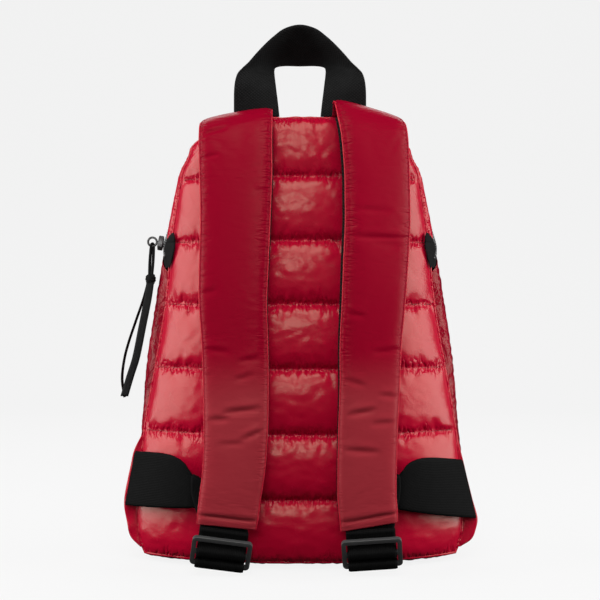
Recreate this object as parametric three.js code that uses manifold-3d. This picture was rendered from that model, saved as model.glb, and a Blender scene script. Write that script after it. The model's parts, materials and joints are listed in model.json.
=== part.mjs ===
// Small quilted puffer backpack with webbing handle, padded shoulder straps and a zip over the top.
// Millimetres, +Z up. The side that rests on the wearer's back faces -Y. X runs to the viewer's right there.
// The origin is on the ground, in the middle of the flat of the base.
import * as THREE from 'three';
import Module from 'manifold-3d';
import { mergeVertices } from 'three/addons/utils/BufferGeometryUtils.js';

const wasm = await Module();
wasm.setup();

// Bag body
const GAP = 0.3; // clearance between neighbouring pieces
const CLOTH = 2.5; // lined fabric wall
const BODY_HEIGHT = 346; // bottom seam to top seam of the back panel
const BASE_RISE = 6.6; // bottom seam above the ground
const HALF_WIDTH = 131; // widest half of the back panel
const EDGE_SETBACK = 46; // how far the side seams lie behind the middle of the back panel
const BACK_CURVE = 2.2; // power of the back panel's curve from middle to side seam
const GUSSET_WIDTH = 46; // side gusset, back seam to front seam
const SIDE_BULGE = 12; // how far the side gusset swells past its seams
const BULGE_LEAN = 0.72; // under 1, the sides swell most nearer to the back seam; base and top stay even
const TOP_BULGE = 4;
const BASE_BULGE = 9.5;
const FRONT_BELLY = 26; // how far the middle of the front panel swells past its side seams
const FRONT_CURVE = 2.4;
const FRONT_WIDTH_SHARE = 0.97; // front panel width against back panel width
const FRONT_TOP_DROP = 12; // the front panel's top seam is lower by this
const TOP_CORNER_DROP = 19; // how far the top seam falls towards its ends
const BASE_CORNER_RISE = 0.5;
const BASE_MIDDLE = 56; // middle of the base's flat behind the back panel

// Quilting
const PUFF = 9; // height of a full channel over its seams
const QUILT_SEAMS = [0, 0.139, 0.286, 0.434, 0.581, 0.725, 0.87, 1]; // shares of BODY_HEIGHT
const CHANNEL_FILL = [0.85, 1, 0.95, 1, 0.95, 0.9, 0.7]; // shares of PUFF, lowest channel first
const CHANNEL_STEPS = 4;
const PANEL_COLUMNS = 14;

// Shares along the height of the body, from its bottom seam up.
// width: of HALF_WIDTH, setback: of EDGE_SETBACK, gusset: of GUSSET_WIDTH, bulge: of SIDE_BULGE,
// belly: of FRONT_BELLY.
const OUTLINE = [
  { at: 0.0, width: 0.955, setback: 0.8, gusset: 1.0, bulge: 0.4, belly: 0.8 },
  { at: 0.05, width: 0.995, setback: 0.84, gusset: 1.02, bulge: 0.4, belly: 0.9 },
  { at: 0.14, width: 1.0, setback: 0.92, gusset: 1.04, bulge: 0.42, belly: 1.0 },
  { at: 0.29, width: 0.962, setback: 1.0, gusset: 1.0, bulge: 0.5, belly: 1.0 },
  { at: 0.43, width: 0.898, setback: 1.0, gusset: 0.96, bulge: 0.9, belly: 0.95 },
  { at: 0.58, width: 0.83, setback: 0.98, gusset: 0.92, bulge: 1.0, belly: 0.85 },
  { at: 0.73, width: 0.788, setback: 0.9, gusset: 0.88, bulge: 0.7, belly: 0.7 },
  { at: 0.87, width: 0.728, setback: 0.76, gusset: 0.82, bulge: 0.5, belly: 0.55 },
  { at: 1.0, width: 0.655, setback: 0.6, gusset: 0.76, bulge: 0.4, belly: 0.45 },
];

// Zip, which leaves the back seam low on one side, arches over the top gusset and comes down on the other
const ZIP_END_HEIGHT = BASE_RISE + 0.6832 * BODY_HEIGHT; // where its middle meets the back seam
const ZIP_RISE = 30; // height in which it crosses to its run along the gusset
const ZIP_RUN_SHARE = 0.46; // its run, as a share of the gusset from back seam to front seam
const TAPE_HALF = 8;
const TAPE_THICK = 1;
const TAPE_SINK = 0.7; // tape below the gusset's outer face
const COIL_HALF = 2.7;
const COIL_THICK = 1.5;
const SLIDER = { length: 11, width: 9, height: 4.2, lift: 0.5, at: 0.04 }; // at: share of the zip from its left end
const RING = { radius: 3.6, wire: 0.9 };
const PULL_CORD = { thick: 2.2, drop: 27 };
const KNOT = { radius: 4.2, end: 3.5, half: 3.6 }; // end: radius of its flat ends
const TAIL = { length: 97, width: 7, thick: 1.1 };

// Webbing
const WEB_WIDTH = 37.5;
const WEB_THICK = 1.6;

// Grab handle
const HANDLE_HEIGHT = 74; // top seam to the upper edge of its crown
const HANDLE_HALF = 52; // middle to the outer edge of a leg
const HANDLE_REACH = 40; // how far the crown's rear edge leans back

// Shares of HANDLE_HALF, HANDLE_HEIGHT and HANDLE_REACH for the outer edge (o) and the window edge (i),
// from a leg's root to the middle of the crown.
const HANDLE_EDGES = [
  { ox: 1.0, oz: 0.0, oy: 0.0, ix: 0.31, iz: 0.0, iy: 0.0 },
  { ox: 1.0, oz: 0.14, oy: 0.0, ix: 0.33, iz: 0.14, iy: 0.01 },
  { ox: 0.99, oz: 0.31, oy: 0.0, ix: 0.36, iz: 0.31, iy: 0.06 },
  { ox: 0.952, oz: 0.44, oy: 0.0, ix: 0.385, iz: 0.45, iy: 0.25 },
  { ox: 0.875, oz: 0.51, oy: 0.0, ix: 0.394, iz: 0.53, iy: 0.5 },
  { ox: 0.77, oz: 0.58, oy: 0.02, ix: 0.385, iz: 0.575, iy: 0.66 },
  { ox: 0.654, oz: 0.675, oy: 0.04, ix: 0.346, iz: 0.6, iy: 0.77 },
  { ox: 0.53, oz: 0.77, oy: 0.07, ix: 0.288, iz: 0.615, iy: 0.85 },
  { ox: 0.4, oz: 0.86, oy: 0.12, ix: 0.21, iz: 0.625, iy: 0.92 },
  { ox: 0.23, oz: 0.955, oy: 0.2, ix: 0.115, iz: 0.63, iy: 0.98 },
  { ox: 0.0, oz: 1.0, oy: 0.25, ix: 0.0, iz: 0.63, iy: 1.0 },
];

// Shoulder straps
const STRAP_END = 38.6; // end of the pad above the ground
const STRAP_ROOT_RISE = 2; // middle of the strap's root over the top seam
const STRAP_ROOT_FORE = 0.6; // and in front of it
const STRAP_LENGTH = BASE_RISE + BODY_HEIGHT + STRAP_ROOT_RISE - STRAP_END;
const STRAP_HALF = 28.5; // half of its width at the top
const STRAP_INSET = 49.5; // middle of the pad from the middle of the bag
const STRAP_STANDOFF = 27; // pad's middle plane in front of the back panel's seams
const STRAP_PAD = 5.2; // half of the pad's thickness
const LINING_THICK = 1.8;
const LINING_GAP = 0.5;
const LINING_FROM = 4; // first row of a strap's table with a lining

// Shares along the strap. down: of STRAP_LENGTH, out: of STRAP_STANDOFF, pad: of STRAP_PAD,
// half: of STRAP_HALF, shift: of STRAP_INSET to the outside, yaw and roll: degrees, inner edge forward
// and inner edge down, seam: how closely the row follows the curve of the top seam.
const STRAP_LEFT = [
  { down: 0.0, out: -0.05, pad: 0.24, half: 1.0, shift: 0.0, yaw: 10, roll: 0, seam: 1.0 },
  { down: -0.006, out: 0.1, pad: 0.32, half: 1.0, shift: 0.0, yaw: 10, roll: -5, seam: 0.7 },
  { down: -0.006, out: 0.26, pad: 0.45, half: 1.0, shift: 0.0, yaw: 10, roll: -7, seam: 0.35 },
  { down: 0.01, out: 0.44, pad: 0.62, half: 1.0, shift: 0.0, yaw: 10, roll: -6, seam: 0.12 },
  { down: 0.036, out: 0.58, pad: 0.8, half: 1.0, shift: 0.0, yaw: 10, roll: -4, seam: 0.0 },
  { down: 0.08, out: 0.72, pad: 0.95, half: 0.995, shift: 0.0, yaw: 10, roll: -2, seam: 0.0 },
  { down: 0.16, out: 0.84, pad: 1.0, half: 0.98, shift: -0.01, yaw: 10, roll: 0, seam: 0.0 },
  { down: 0.26, out: 0.92, pad: 1.0, half: 0.945, shift: -0.005, yaw: 10, roll: 0, seam: 0.0 },
  { down: 0.36, out: 0.97, pad: 0.98, half: 0.935, shift: 0.015, yaw: 10, roll: 0, seam: 0.0 },
  { down: 0.46, out: 1.0, pad: 1.0, half: 0.91, shift: 0.03, yaw: 9, roll: 0, seam: 0.0 },
  { down: 0.56, out: 1.0, pad: 0.97, half: 0.885, shift: 0.0, yaw: 8, roll: 0, seam: 0.0 },
  { down: 0.66, out: 1.0, pad: 1.0, half: 0.87, shift: -0.015, yaw: 7, roll: 0, seam: 0.0 },
  { down: 0.76, out: 0.98, pad: 0.98, half: 0.85, shift: -0.015, yaw: 6, roll: 0, seam: 0.0 },
  { down: 0.86, out: 0.95, pad: 1.0, half: 0.825, shift: 0.015, yaw: 5, roll: 2, seam: 0.0 },
  { down: 0.93, out: 0.93, pad: 0.95, half: 0.81, shift: 0.075, yaw: 4, roll: 4, seam: 0.0 },
  { down: 0.975, out: 0.91, pad: 0.8, half: 0.805, shift: 0.11, yaw: 4, roll: 5, seam: 0.0 },
  { down: 1.0, out: 0.9, pad: 0.5, half: 0.79, shift: 0.13, yaw: 4, roll: 5, seam: 0.0 },
];
const STRAP_RIGHT = [
  { down: 0.0, out: -0.05, pad: 0.24, half: 1.0, shift: 0.07, yaw: 10, roll: 0, seam: 1.0 },
  { down: -0.014, out: 0.1, pad: 0.32, half: 1.0, shift: 0.07, yaw: 11, roll: -8, seam: 0.7 },
  { down: -0.02, out: 0.28, pad: 0.45, half: 1.02, shift: 0.075, yaw: 13, roll: -13, seam: 0.35 },
  { down: -0.006, out: 0.48, pad: 0.62, half: 1.02, shift: 0.09, yaw: 16, roll: -13, seam: 0.12 },
  { down: 0.024, out: 0.63, pad: 0.8, half: 1.01, shift: 0.12, yaw: 19, roll: -9, seam: 0.0 },
  { down: 0.07, out: 0.76, pad: 0.95, half: 0.98, shift: 0.16, yaw: 22, roll: -4, seam: 0.0 },
  { down: 0.16, out: 0.86, pad: 1.0, half: 0.955, shift: 0.19, yaw: 23, roll: 0, seam: 0.0 },
  { down: 0.26, out: 0.93, pad: 1.0, half: 0.955, shift: 0.195, yaw: 23, roll: 0, seam: 0.0 },
  { down: 0.36, out: 0.98, pad: 0.98, half: 0.94, shift: 0.165, yaw: 22, roll: 0, seam: 0.0 },
  { down: 0.46, out: 1.0, pad: 1.0, half: 0.905, shift: 0.13, yaw: 20, roll: 0, seam: 0.0 },
  { down: 0.56, out: 1.0, pad: 0.97, half: 0.86, shift: 0.085, yaw: 17, roll: 0, seam: 0.0 },
  { down: 0.66, out: 1.0, pad: 1.0, half: 0.82, shift: 0.07, yaw: 14, roll: 0, seam: 0.0 },
  { down: 0.76, out: 0.98, pad: 0.98, half: 0.8, shift: 0.045, yaw: 11, roll: 1, seam: 0.0 },
  { down: 0.86, out: 0.95, pad: 1.0, half: 0.79, shift: 0.03, yaw: 9, roll: 3, seam: 0.0 },
  { down: 0.93, out: 0.93, pad: 0.95, half: 0.785, shift: 0.03, yaw: 8, roll: 6, seam: 0.0 },
  { down: 0.975, out: 0.91, pad: 0.8, half: 0.78, shift: 0.055, yaw: 8, roll: 8, seam: 0.0 },
  { down: 1.0, out: 0.9, pad: 0.5, half: 0.77, shift: 0.065, yaw: 8, roll: 8, seam: 0.0 },
];

// Half outline of a pad's upper face, across: of its half width, thick: of its half thickness
const PAD_SECTION = [
  { across: 1.0, thick: 0.1 },
  { across: 0.95, thick: 0.72 },
  { across: 0.72, thick: 0.94 },
  { across: 0.26, thick: 1.0 },
];
const PAD_UNDERSIDE = 0.55; // share of STRAP_PAD from the middle plane to the lining

// Adjusters: a frame of two side bars and three cross bars at the lower end of each strap
const ADJUSTER_TILT = 0.42; // radians, upper bar towards the viewer
const ADJUSTER_RISE = 16.6; // its middle above the ground
const BAR = 3.4;
const FRAME_THICK = 3.4;
const UPPER_BAR = 13; // middles of the three cross bars, up the frame from its middle
const MIDDLE_BAR = 1.6;
const LOWER_BAR = -8.4;
const BAR_CLEARANCE = 1.4; // middle of a webbing to the bar that it rounds
const FRAME_SIDE_CLEARANCE = 0.8; // webbing edge to side bar
const ADJUSTER_LEAN = { left: { outset: 4.5, roll: 0.15 }, right: { outset: 2.3, roll: 0.08 } };

// Lower webbing, from the anchor tab forward and in, folded down behind the pad
const FOLD_OUTSET = { left: 0.64, right: 0.59 }; // outer edge of the folded webbing, shares of HALF_WIDTH
const BAND_TOP = BASE_RISE + 0.2353 * BODY_HEIGHT; // upper edge of the level stretch above the ground
const BAND_STANDOFF = 9; // level stretch in front of the back panel's seams, at the fold
const BAND_BOW = 8; // how far the level stretch bows forward of a straight run
const FOLD_RADIUS = 2.2;
const TAB_CLEARANCE = 2; // tab's ends below the end of the pad
const HANG_BACK = 8; // webbing behind the adjuster's upper bar, clear of the pad

// Anchor tabs, in the side seams. reach: share of ANCHOR_REACH past the seam, at: share of BODY_HEIGHT
const ANCHOR_REACH = 12.6;
const ANCHOR_THICK = 2.2;
const ANCHOR_LEFT = [
  { at: 0.012, reach: 0.2 },
  { at: 0.035, reach: 0.62 },
  { at: 0.065, reach: 0.72 },
  { at: 0.11, reach: 0.9 },
  { at: 0.15, reach: 0.84 },
  { at: 0.19, reach: 0.7 },
  { at: 0.235, reach: 0.55 },
  { at: 0.27, reach: 0.2 },
];
const ANCHOR_RIGHT = [
  { at: 0.012, reach: 0.25 },
  { at: 0.03, reach: 0.8 },
  { at: 0.055, reach: 0.95 },
  { at: 0.08, reach: 1.0 },
  { at: 0.12, reach: 0.72 },
  { at: 0.16, reach: 0.5 },
  { at: 0.215, reach: 0.28 },
  { at: 0.26, reach: 0.12 },
];

const RED = { color: 0x9a1522, roughness: 0.3, metalness: 0 };
const LINING = { color: 0x161616, roughness: 0.9, metalness: 0 };
const WEBBING = { color: 0x141414, roughness: 0.75, metalness: 0 };
const PLASTIC = { color: 0x2b2b2b, roughness: 0.45, metalness: 0 };
const ZIP_BLACK = { color: 0x121212, roughness: 0.6, metalness: 0 };

const group = new THREE.Group();

// Value of a table's column at a place between its rows, as a smooth curve through them
function along(table, column, at, key = 'at') {
  const last = table.length - 1;
  let i = 0;
  while (i < last - 1 && at > table[i + 1][key]) {
    i += 1;
  }
  const slope = (k) => {
    const lo = Math.max(k - 1, 0);
    const hi = Math.min(k + 1, last);
    return (table[hi][column] - table[lo][column]) / (table[hi][key] - table[lo][key]);
  };
  const span = table[i + 1][key] - table[i][key];
  const s = Math.min(Math.max((at - table[i][key]) / span, 0), 1);
  const s2 = s * s;
  const s3 = s2 * s;
  return (2 * s3 - 3 * s2 + 1) * table[i][column] + (s3 - 2 * s2 + s) * span * slope(i)
    + (3 * s2 - 2 * s3) * table[i + 1][column] + (s3 - s2) * span * slope(i + 1);
}

function smooth(t) {
  const s = Math.min(Math.max(t, 0), 1);
  return s * s * (3 - 2 * s);
}

const range = (count) => Array.from({ length: count }, (_, i) => i);

// A closed solid through sections of equally many points. Each section runs along one face and back
// along the other, so a ladder between its two faces caps the ends.
function loft(sections, closed = false) {
  const size = sections[0].length;
  const positions = sections.flatMap((section) => section.flatMap((p) => [p.x, p.y, p.z]));
  const faces = [];
  const quad = (a, b, c, d) => faces.push(a, b, c, a, c, d);
  const mirroredQuad = (a, b, c, d) => faces.push(a, b, d, b, c, d);
  const spans = closed ? sections.length : sections.length - 1;
  for (let i = 0; i < spans; i += 1) {
    const here = i * size;
    const next = ((i + 1) % sections.length) * size;
    for (let k = 0; k < size; k += 1) {
      const m = (k + 1) % size;
      const split = k < size / 2 ? quad : mirroredQuad;
      split(here + k, here + m, next + m, next + k);
    }
  }
  if (!closed) {
    const end = (sections.length - 1) * size;
    for (let k = 0; k < size / 2 - 1; k += 1) {
      const across = size - 1 - k;
      quad(k, across, across - 1, k + 1);
      quad(end + k, end + k + 1, end + across - 1, end + across);
    }
  }
  const geometry = new THREE.BufferGeometry();
  geometry.setAttribute('position', new THREE.Float32BufferAttribute(positions, 3));
  geometry.setIndex(faces);
  return facingOut(geometry);
}

function facingOut(geometry) {
  const p = geometry.attributes.position;
  const index = geometry.index.array;
  const [a, b, c] = [new THREE.Vector3(), new THREE.Vector3(), new THREE.Vector3()];
  let volume = 0;
  for (let i = 0; i < index.length; i += 3) {
    a.fromBufferAttribute(p, index[i]);
    b.fromBufferAttribute(p, index[i + 1]);
    c.fromBufferAttribute(p, index[i + 2]);
    volume += a.dot(b.cross(c));
  }
  if (volume < 0) {
    for (let i = 0; i < index.length; i += 3) {
      [index[i + 1], index[i + 2]] = [index[i + 2], index[i + 1]];
    }
  }
  geometry.computeVertexNormals();
  return geometry;
}

function add(name, geometry, look) {
  const mesh = new THREE.Mesh(geometry, new THREE.MeshStandardMaterial(look));
  mesh.name = name;
  group.add(mesh);
}

// A flat strip of even thickness between two edges given point by point
function strip(edgeA, edgeB, thick, columns = 1) {
  const last = edgeA.length - 1;
  const sections = edgeA.map((a, i) => {
    const b = edgeB[i];
    const lo = Math.max(i - 1, 0);
    const hi = Math.min(i + 1, last);
    const run = edgeA[hi].clone().add(edgeB[hi]).sub(edgeA[lo]).sub(edgeB[lo]);
    const face = run.cross(b.clone().sub(a)).setLength(thick / 2);
    const across = range(columns + 1).map((k) => a.clone().lerp(b, k / columns));
    const front = across.map((p) => p.clone().add(face));
    const back = across.map((p) => p.clone().sub(face)).reverse();
    return [...front, ...back];
  });
  return loft(sections);
}

// Bag body

function bodyPoint(u, t) {
  const corner = smooth((t - QUILT_SEAMS[6]) / (1 - QUILT_SEAMS[6])) * TOP_CORNER_DROP * u ** 4;
  const foot = (1 - smooth(t / (QUILT_SEAMS[1] * 0.7))) * BASE_CORNER_RISE * u ** 8;
  const x = HALF_WIDTH * along(OUTLINE, 'width', t) * u;
  return new THREE.Vector3(x, 0, BASE_RISE + BODY_HEIGHT * t - corner + foot);
}

function backPoint(u, t, deep) {
  const p = bodyPoint(u, t);
  p.y = EDGE_SETBACK * along(OUTLINE, 'setback', t) * Math.abs(u) ** BACK_CURVE + deep;
  return p;
}

function frontPoint(u, t, deep) {
  const p = bodyPoint(u, t);
  const edge = EDGE_SETBACK * along(OUTLINE, 'setback', t) + GUSSET_WIDTH * along(OUTLINE, 'gusset', t);
  const belly = FRONT_BELLY * along(OUTLINE, 'belly', t) * (1 - Math.abs(u) ** FRONT_CURVE);
  p.x *= FRONT_WIDTH_SHARE;
  p.z -= FRONT_TOP_DROP * t ** 4;
  p.y = edge + belly + deep;
  return p;
}

// Height of the quilting over its seams: full in the middle of a channel, nothing at every seam
function puff(u, t) {
  let channel = 0;
  while (channel < CHANNEL_FILL.length - 1 && t > QUILT_SEAMS[channel + 1]) {
    channel += 1;
  }
  const from = QUILT_SEAMS[channel];
  const share = (t - from) / (QUILT_SEAMS[channel + 1] - from);
  const up = Math.sqrt(Math.max(0, 1 - Math.abs(2 * share - 1) ** 2.2));
  const side = Math.sqrt(Math.max(0, 1 - Math.abs(u) ** 7));
  return PUFF * CHANNEL_FILL[channel] * up * side;
}

const PANEL_ROWS = QUILT_SEAMS.slice(1).flatMap((top, channel) => {
  const from = QUILT_SEAMS[channel];
  return range(CHANNEL_STEPS).map((k) => from + (top - from) * (1 - Math.cos(Math.PI * k / CHANNEL_STEPS)) / 2);
});
PANEL_ROWS.push(1);
const PANEL_ACROSS = range(PANEL_COLUMNS + 1).map((k) => Math.sin((k / PANEL_COLUMNS - 0.5) * Math.PI * 0.8)
  / Math.sin(0.4 * Math.PI));

function quiltedPanel(point, outward) {
  return loft(PANEL_ROWS.map((t) => {
    const inner = PANEL_ACROSS.map((u) => point(u, t, 0)).reverse();
    const outer = PANEL_ACROSS.map((u) => point(u, t, outward * (CLOTH + puff(u, t))));
    return [...outer, ...inner];
  }));
}

// The back panel's inner face, which the gusset meets, is one cloth thickness behind its seams
const backInner = (u, t) => backPoint(u, t, CLOTH);
const frontInner = (u, t) => frontPoint(u, t, 0);

// Once round the body: along the bottom, up the right side, back along the top and down the left side
function bodyRound() {
  const half = (rows) => rows.flatMap((t, i) => (i ? [(rows[i - 1] + t) / 2, t] : [t]));
  const firstFine = PANEL_ROWS.findIndex((t) => t >= QUILT_SEAMS[4]);
  const sideRows = [...PANEL_ROWS.slice(0, firstFine), ...half(PANEL_ROWS.slice(firstFine))];
  const right = sideRows.slice(1).map((t) => ({ u: 1, t }));
  const left = sideRows.slice(0, -1).map((t) => ({ u: -1, t })).reverse();
  const bottom = PANEL_ACROSS.map((u) => ({ u, t: 0 }));
  const top = PANEL_ACROSS.slice(0, -1).map((u) => ({ u, t: 1 })).reverse();
  const places = [...bottom, ...right, ...top, ...left.slice(0, -1)];
  return places.map((place, i) => {
    const before = places[(i + places.length - 1) % places.length];
    const after = places[(i + 1) % places.length];
    const run = bodyPoint(after.u, after.t).sub(bodyPoint(before.u, before.t));
    const out = new THREE.Vector3(run.z, 0, -run.x).normalize();
    return { ...place, out, ...gussetSize(place) };
  });
}

function gussetSize({ u, t }) {
  const side = SIDE_BULGE * along(OUTLINE, 'bulge', t);
  const level = t === 0 ? BASE_BULGE : TOP_BULGE;
  const levelRun = t === 0 || t === 1;
  const bulge = levelRun ? level + (side - level) * u ** 6 : side;
  const lean = levelRun ? 1 + (BULGE_LEAN - 1) * u ** 16 : BULGE_LEAN;
  const back = backInner(u, t);
  const width = frontInner(u, t).y - back.y - 2 * GAP;
  const rise = (back.z - ZIP_END_HEIGHT) / ZIP_RISE;
  const zip = ZIP_RUN_SHARE * Math.sin(Math.min(rise, 1) * Math.PI / 2);
  return { bulge, lean, width, zip: rise < -1 ? -ZIP_RUN_SHARE : zip };
}

// A point of the gusset: across from back seam (0) to front seam (1), sunk below its outer face
function gussetPoint(place, across, sink) {
  const back = backInner(place.u, place.t);
  const front = frontInner(place.u, place.t);
  back.y += GAP;
  front.y -= GAP;
  const swell = place.bulge * Math.sin(Math.PI * across ** place.lean) ** 0.8;
  const p = back.lerp(front, across).addScaledVector(place.out, swell);
  p.z = Math.max(p.z, 0);
  return p.addScaledVector(place.out, -sink);
}

// A band of the gusset between two shares of its width
function gussetBand(places, low, high, columns, sink, thick, closed = false) {
  return loft(places.map((place) => {
    const lo = low(place);
    const shares = range(columns + 1).map((k) => lo + (high(place) - lo) * k / columns);
    const outer = shares.map((share) => gussetPoint(place, share, sink));
    const inner = shares.map((share) => gussetPoint(place, share, sink + thick)).reverse();
    return [...outer, ...inner];
  }), closed);
}

const tapeShare = (place) => TAPE_HALF / place.width;
const gapShare = (place) => GAP / place.width;

function addBody() {
  const places = bodyRound();
  const tapeFrom = (place) => Math.max(0, place.zip - tapeShare(place));
  const tapeTo = (place) => place.zip + tapeShare(place);
  const below = (place) => Math.max(0, tapeFrom(place) - gapShare(place));
  const above = (place) => Math.max(0, tapeTo(place) + gapShare(place));
  const zipped = places.filter((place) => tapeTo(place) > 0.06);
  const covered = places.filter((place) => below(place) > 0.03);
  const toothed = places.filter((place) => place.zip > 0.03);
  const coilShare = (place) => COIL_HALF / place.width;

  add('back_panel', quiltedPanel((u, t, deep) => backPoint(u, t, CLOTH + deep), -1), RED);
  add('front_panel', quiltedPanel(frontPoint, 1), RED);
  add('side_gusset', gussetBand(places, above, () => 1, 4, 0, CLOTH, true), RED);
  add('top_strip', gussetBand(covered, () => 0, below, 2, 0, CLOTH), RED);
  add('zip_tape', gussetBand(zipped, tapeFrom, tapeTo, 2, TAPE_SINK, TAPE_THICK), ZIP_BLACK);
  add('zip_coil', gussetBand(
    toothed,
    (place) => place.zip - coilShare(place),
    (place) => place.zip + coilShare(place),
    2,
    TAPE_SINK - GAP - COIL_THICK,
    COIL_THICK,
  ), ZIP_BLACK);
  addPull(toothed);
}

// Slider at the left end of the zip, with its ring, a doubled cord, a knot and two ribbon tails
function addPull(places) {
  const spot = (share) => {
    const place = places[Math.round((places.length - 1) * (1 - share))];
    return gussetPoint(place, place.zip, TAPE_SINK - COIL_THICK - 2 * GAP - SLIDER.lift);
  };
  const place = places[Math.round((places.length - 1) * (1 - SLIDER.at))];
  const seat = spot(SLIDER.at);
  const runDir = spot(SLIDER.at - 0.04).sub(spot(SLIDER.at + 0.04)).normalize();
  const outDir = place.out.clone().addScaledVector(runDir, -place.out.dot(runDir)).normalize();
  const acrossDir = new THREE.Vector3().crossVectors(outDir, runDir);

  const outline = new THREE.Shape();
  const [halfLong, halfWide, waist] = [SLIDER.length / 2, SLIDER.width / 2, SLIDER.width / 3.2];
  outline.moveTo(-halfLong, -waist);
  outline.lineTo(halfLong * 0.4, -halfWide);
  outline.lineTo(halfLong, -halfWide * 0.7);
  outline.lineTo(halfLong, halfWide * 0.7);
  outline.lineTo(halfLong * 0.4, halfWide);
  outline.lineTo(-halfLong, waist);
  outline.closePath();
  const slider = new THREE.ExtrudeGeometry(outline, { depth: SLIDER.height, bevelEnabled: false });
  slider.applyMatrix4(new THREE.Matrix4().makeBasis(runDir, acrossDir, outDir).setPosition(seat));
  add('zip_slider', slider, PLASTIC);

  const ringAt = seat.clone().addScaledVector(outDir, SLIDER.height + RING.radius + RING.wire + GAP);
  const ring = new THREE.TorusGeometry(RING.radius, RING.wire, 6, 14);
  ring.rotateX(Math.PI / 2);
  ring.translate(ringAt.x, ringAt.y, ringAt.z);
  add('zip_pull_ring', ring, PLASTIC);

  const knotAt = ringAt.clone().add(new THREE.Vector3(-1.5, 0, -RING.radius - PULL_CORD.drop));
  const cordTop = ringAt.clone().add(new THREE.Vector3(0, 0, -RING.radius - RING.wire - GAP));
  const cordEnd = knotAt.clone().add(new THREE.Vector3(0, 0, KNOT.half + GAP));
  const wide = new THREE.Vector3(0.55, -0.83, 0).multiplyScalar(PULL_CORD.thick);
  const cord = range(5).map((k) => cordTop.clone().lerp(cordEnd, k / 4));
  add('zip_pull_cord', strip(
    cord.map((p) => p.clone().sub(wide)),
    cord.map((p) => p.clone().add(wide)),
    PULL_CORD.thick,
  ), WEBBING);
  const profile = [[0, -1], [KNOT.end, -1], [KNOT.radius, -0.4], [KNOT.radius, 0.4], [KNOT.end, 1], [0, 1]];
  const knot = new THREE.LatheGeometry(profile.map(([r, h]) => new THREE.Vector2(r, h * KNOT.half)), 12);
  knot.rotateX(Math.PI / 2);
  knot.translate(knotAt.x, knotAt.y, knotAt.z);
  add('zip_pull_knot', knot, WEBBING);
  addTail('zip_pull_tail_flat', knotAt, TAIL_FLAT, new THREE.Vector3(0.94, -0.34, 0));
  addTail('zip_pull_tail_edge', knotAt, TAIL_EDGE, new THREE.Vector3(0.1, 0.99, 0));
}

// Shares of TAIL.length: out to the side, forward and down from the knot
const TAIL_FLAT = [
  { out: 0.0, fore: 0.03, down: 0.0 },
  { out: 0.02, fore: 0.05, down: 0.15 },
  { out: 0.06, fore: 0.08, down: 0.37 },
  { out: 0.11, fore: 0.1, down: 0.63 },
  { out: 0.16, fore: 0.1, down: 0.79 },
  { out: 0.21, fore: 0.1, down: 0.96 },
];
const TAIL_EDGE = [
  { out: 0.025, fore: -0.025, down: 0.0 },
  { out: 0.07, fore: -0.05, down: 0.15 },
  { out: 0.135, fore: -0.07, down: 0.33 },
  { out: 0.2, fore: -0.08, down: 0.52 },
  { out: 0.237, fore: -0.08, down: 0.67 },
  { out: 0.253, fore: -0.08, down: 0.83 },
  { out: 0.23, fore: -0.07, down: 0.98 },
];

function addTail(name, knotAt, route, wide) {
  const start = knotAt.clone();
  start.z -= KNOT.half + GAP;
  const points = route.map((row) => start.clone().add(
    new THREE.Vector3(-row.out, -row.fore, -row.down).multiplyScalar(TAIL.length),
  ));
  const half = wide.clone().setLength(TAIL.width / 2);
  const edge = (sign) => points.map((p) => p.clone().addScaledVector(half, sign));
  add(name, strip(edge(-1), edge(1), TAIL.thick), WEBBING);
}

// Handle and straps

const SEAM_TOP = BASE_RISE + BODY_HEIGHT;

// The top seam over the middle of the back panel's edge, at a distance x from the bag's middle
function topSeam(x) {
  return backPoint(x / (HALF_WIDTH * along(OUTLINE, 'width', 1)), 1, CLOTH / 2);
}

function addHandle() {
  const behind = GAP + WEB_THICK / 2 + GAP;
  const over = GAP + TOP_BULGE * 0.4;
  const side = (sign, rows) => rows.map((row) => {
    const sewn = Math.max(0, 1 - row.oz / 0.31);
    const place = (x, y, z) => {
      const seam = topSeam(x * HANDLE_HALF).sub(topSeam(0)).multiplyScalar(sewn);
      const crown = topSeam(0).add(new THREE.Vector3(0, y * HANDLE_REACH + behind, z * HANDLE_HEIGHT + over));
      return new THREE.Vector3(sign * x * HANDLE_HALF, crown.y + seam.y, crown.z + seam.z);
    };
    return [place(row.ox, row.oy, row.oz), place(row.ix, row.iy, row.iz)];
  });
  const pairs = [...side(-1, HANDLE_EDGES), ...side(1, HANDLE_EDGES.slice(0, -1).reverse())];
  add('grab_handle', strip(pairs.map((p) => p[0]), pairs.map((p) => p[1]), WEB_THICK, 2), WEBBING);
}

// The strap's middle plane at one row of its table, as a function of the share across it
function strapPlane(row, sign) {
  const yaw = THREE.MathUtils.degToRad(row.yaw);
  const roll = THREE.MathUtils.degToRad(row.roll);
  const middle = new THREE.Vector3(
    sign * STRAP_INSET * (1 + row.shift),
    -STRAP_STANDOFF * row.out,
    SEAM_TOP + STRAP_ROOT_RISE - STRAP_LENGTH * row.down,
  );
  const across = new THREE.Vector3(sign * Math.cos(yaw) * Math.cos(roll), Math.sin(yaw), Math.sin(roll));
  return (share) => {
    const p = middle.clone().addScaledVector(across, share * STRAP_HALF * row.half);
    const seam = topSeam(p.x);
    return p.lerp(new THREE.Vector3(p.x, seam.y - STRAP_ROOT_FORE, seam.z + STRAP_ROOT_RISE), row.seam);
  };
}

function strapSections(rows, sign, section) {
  const planes = rows.map((row) => strapPlane(row, sign));
  return planes.map((plane, i) => {
    const run = planes[Math.min(i + 1, planes.length - 1)](0).sub(planes[Math.max(i - 1, 0)](0));
    const across = plane(1).sub(plane(-1));
    const out = across.cross(run).normalize().multiplyScalar(-sign);
    return section((share, lift) => plane(share).addScaledVector(out, lift), rows[i]);
  });
}

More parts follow.
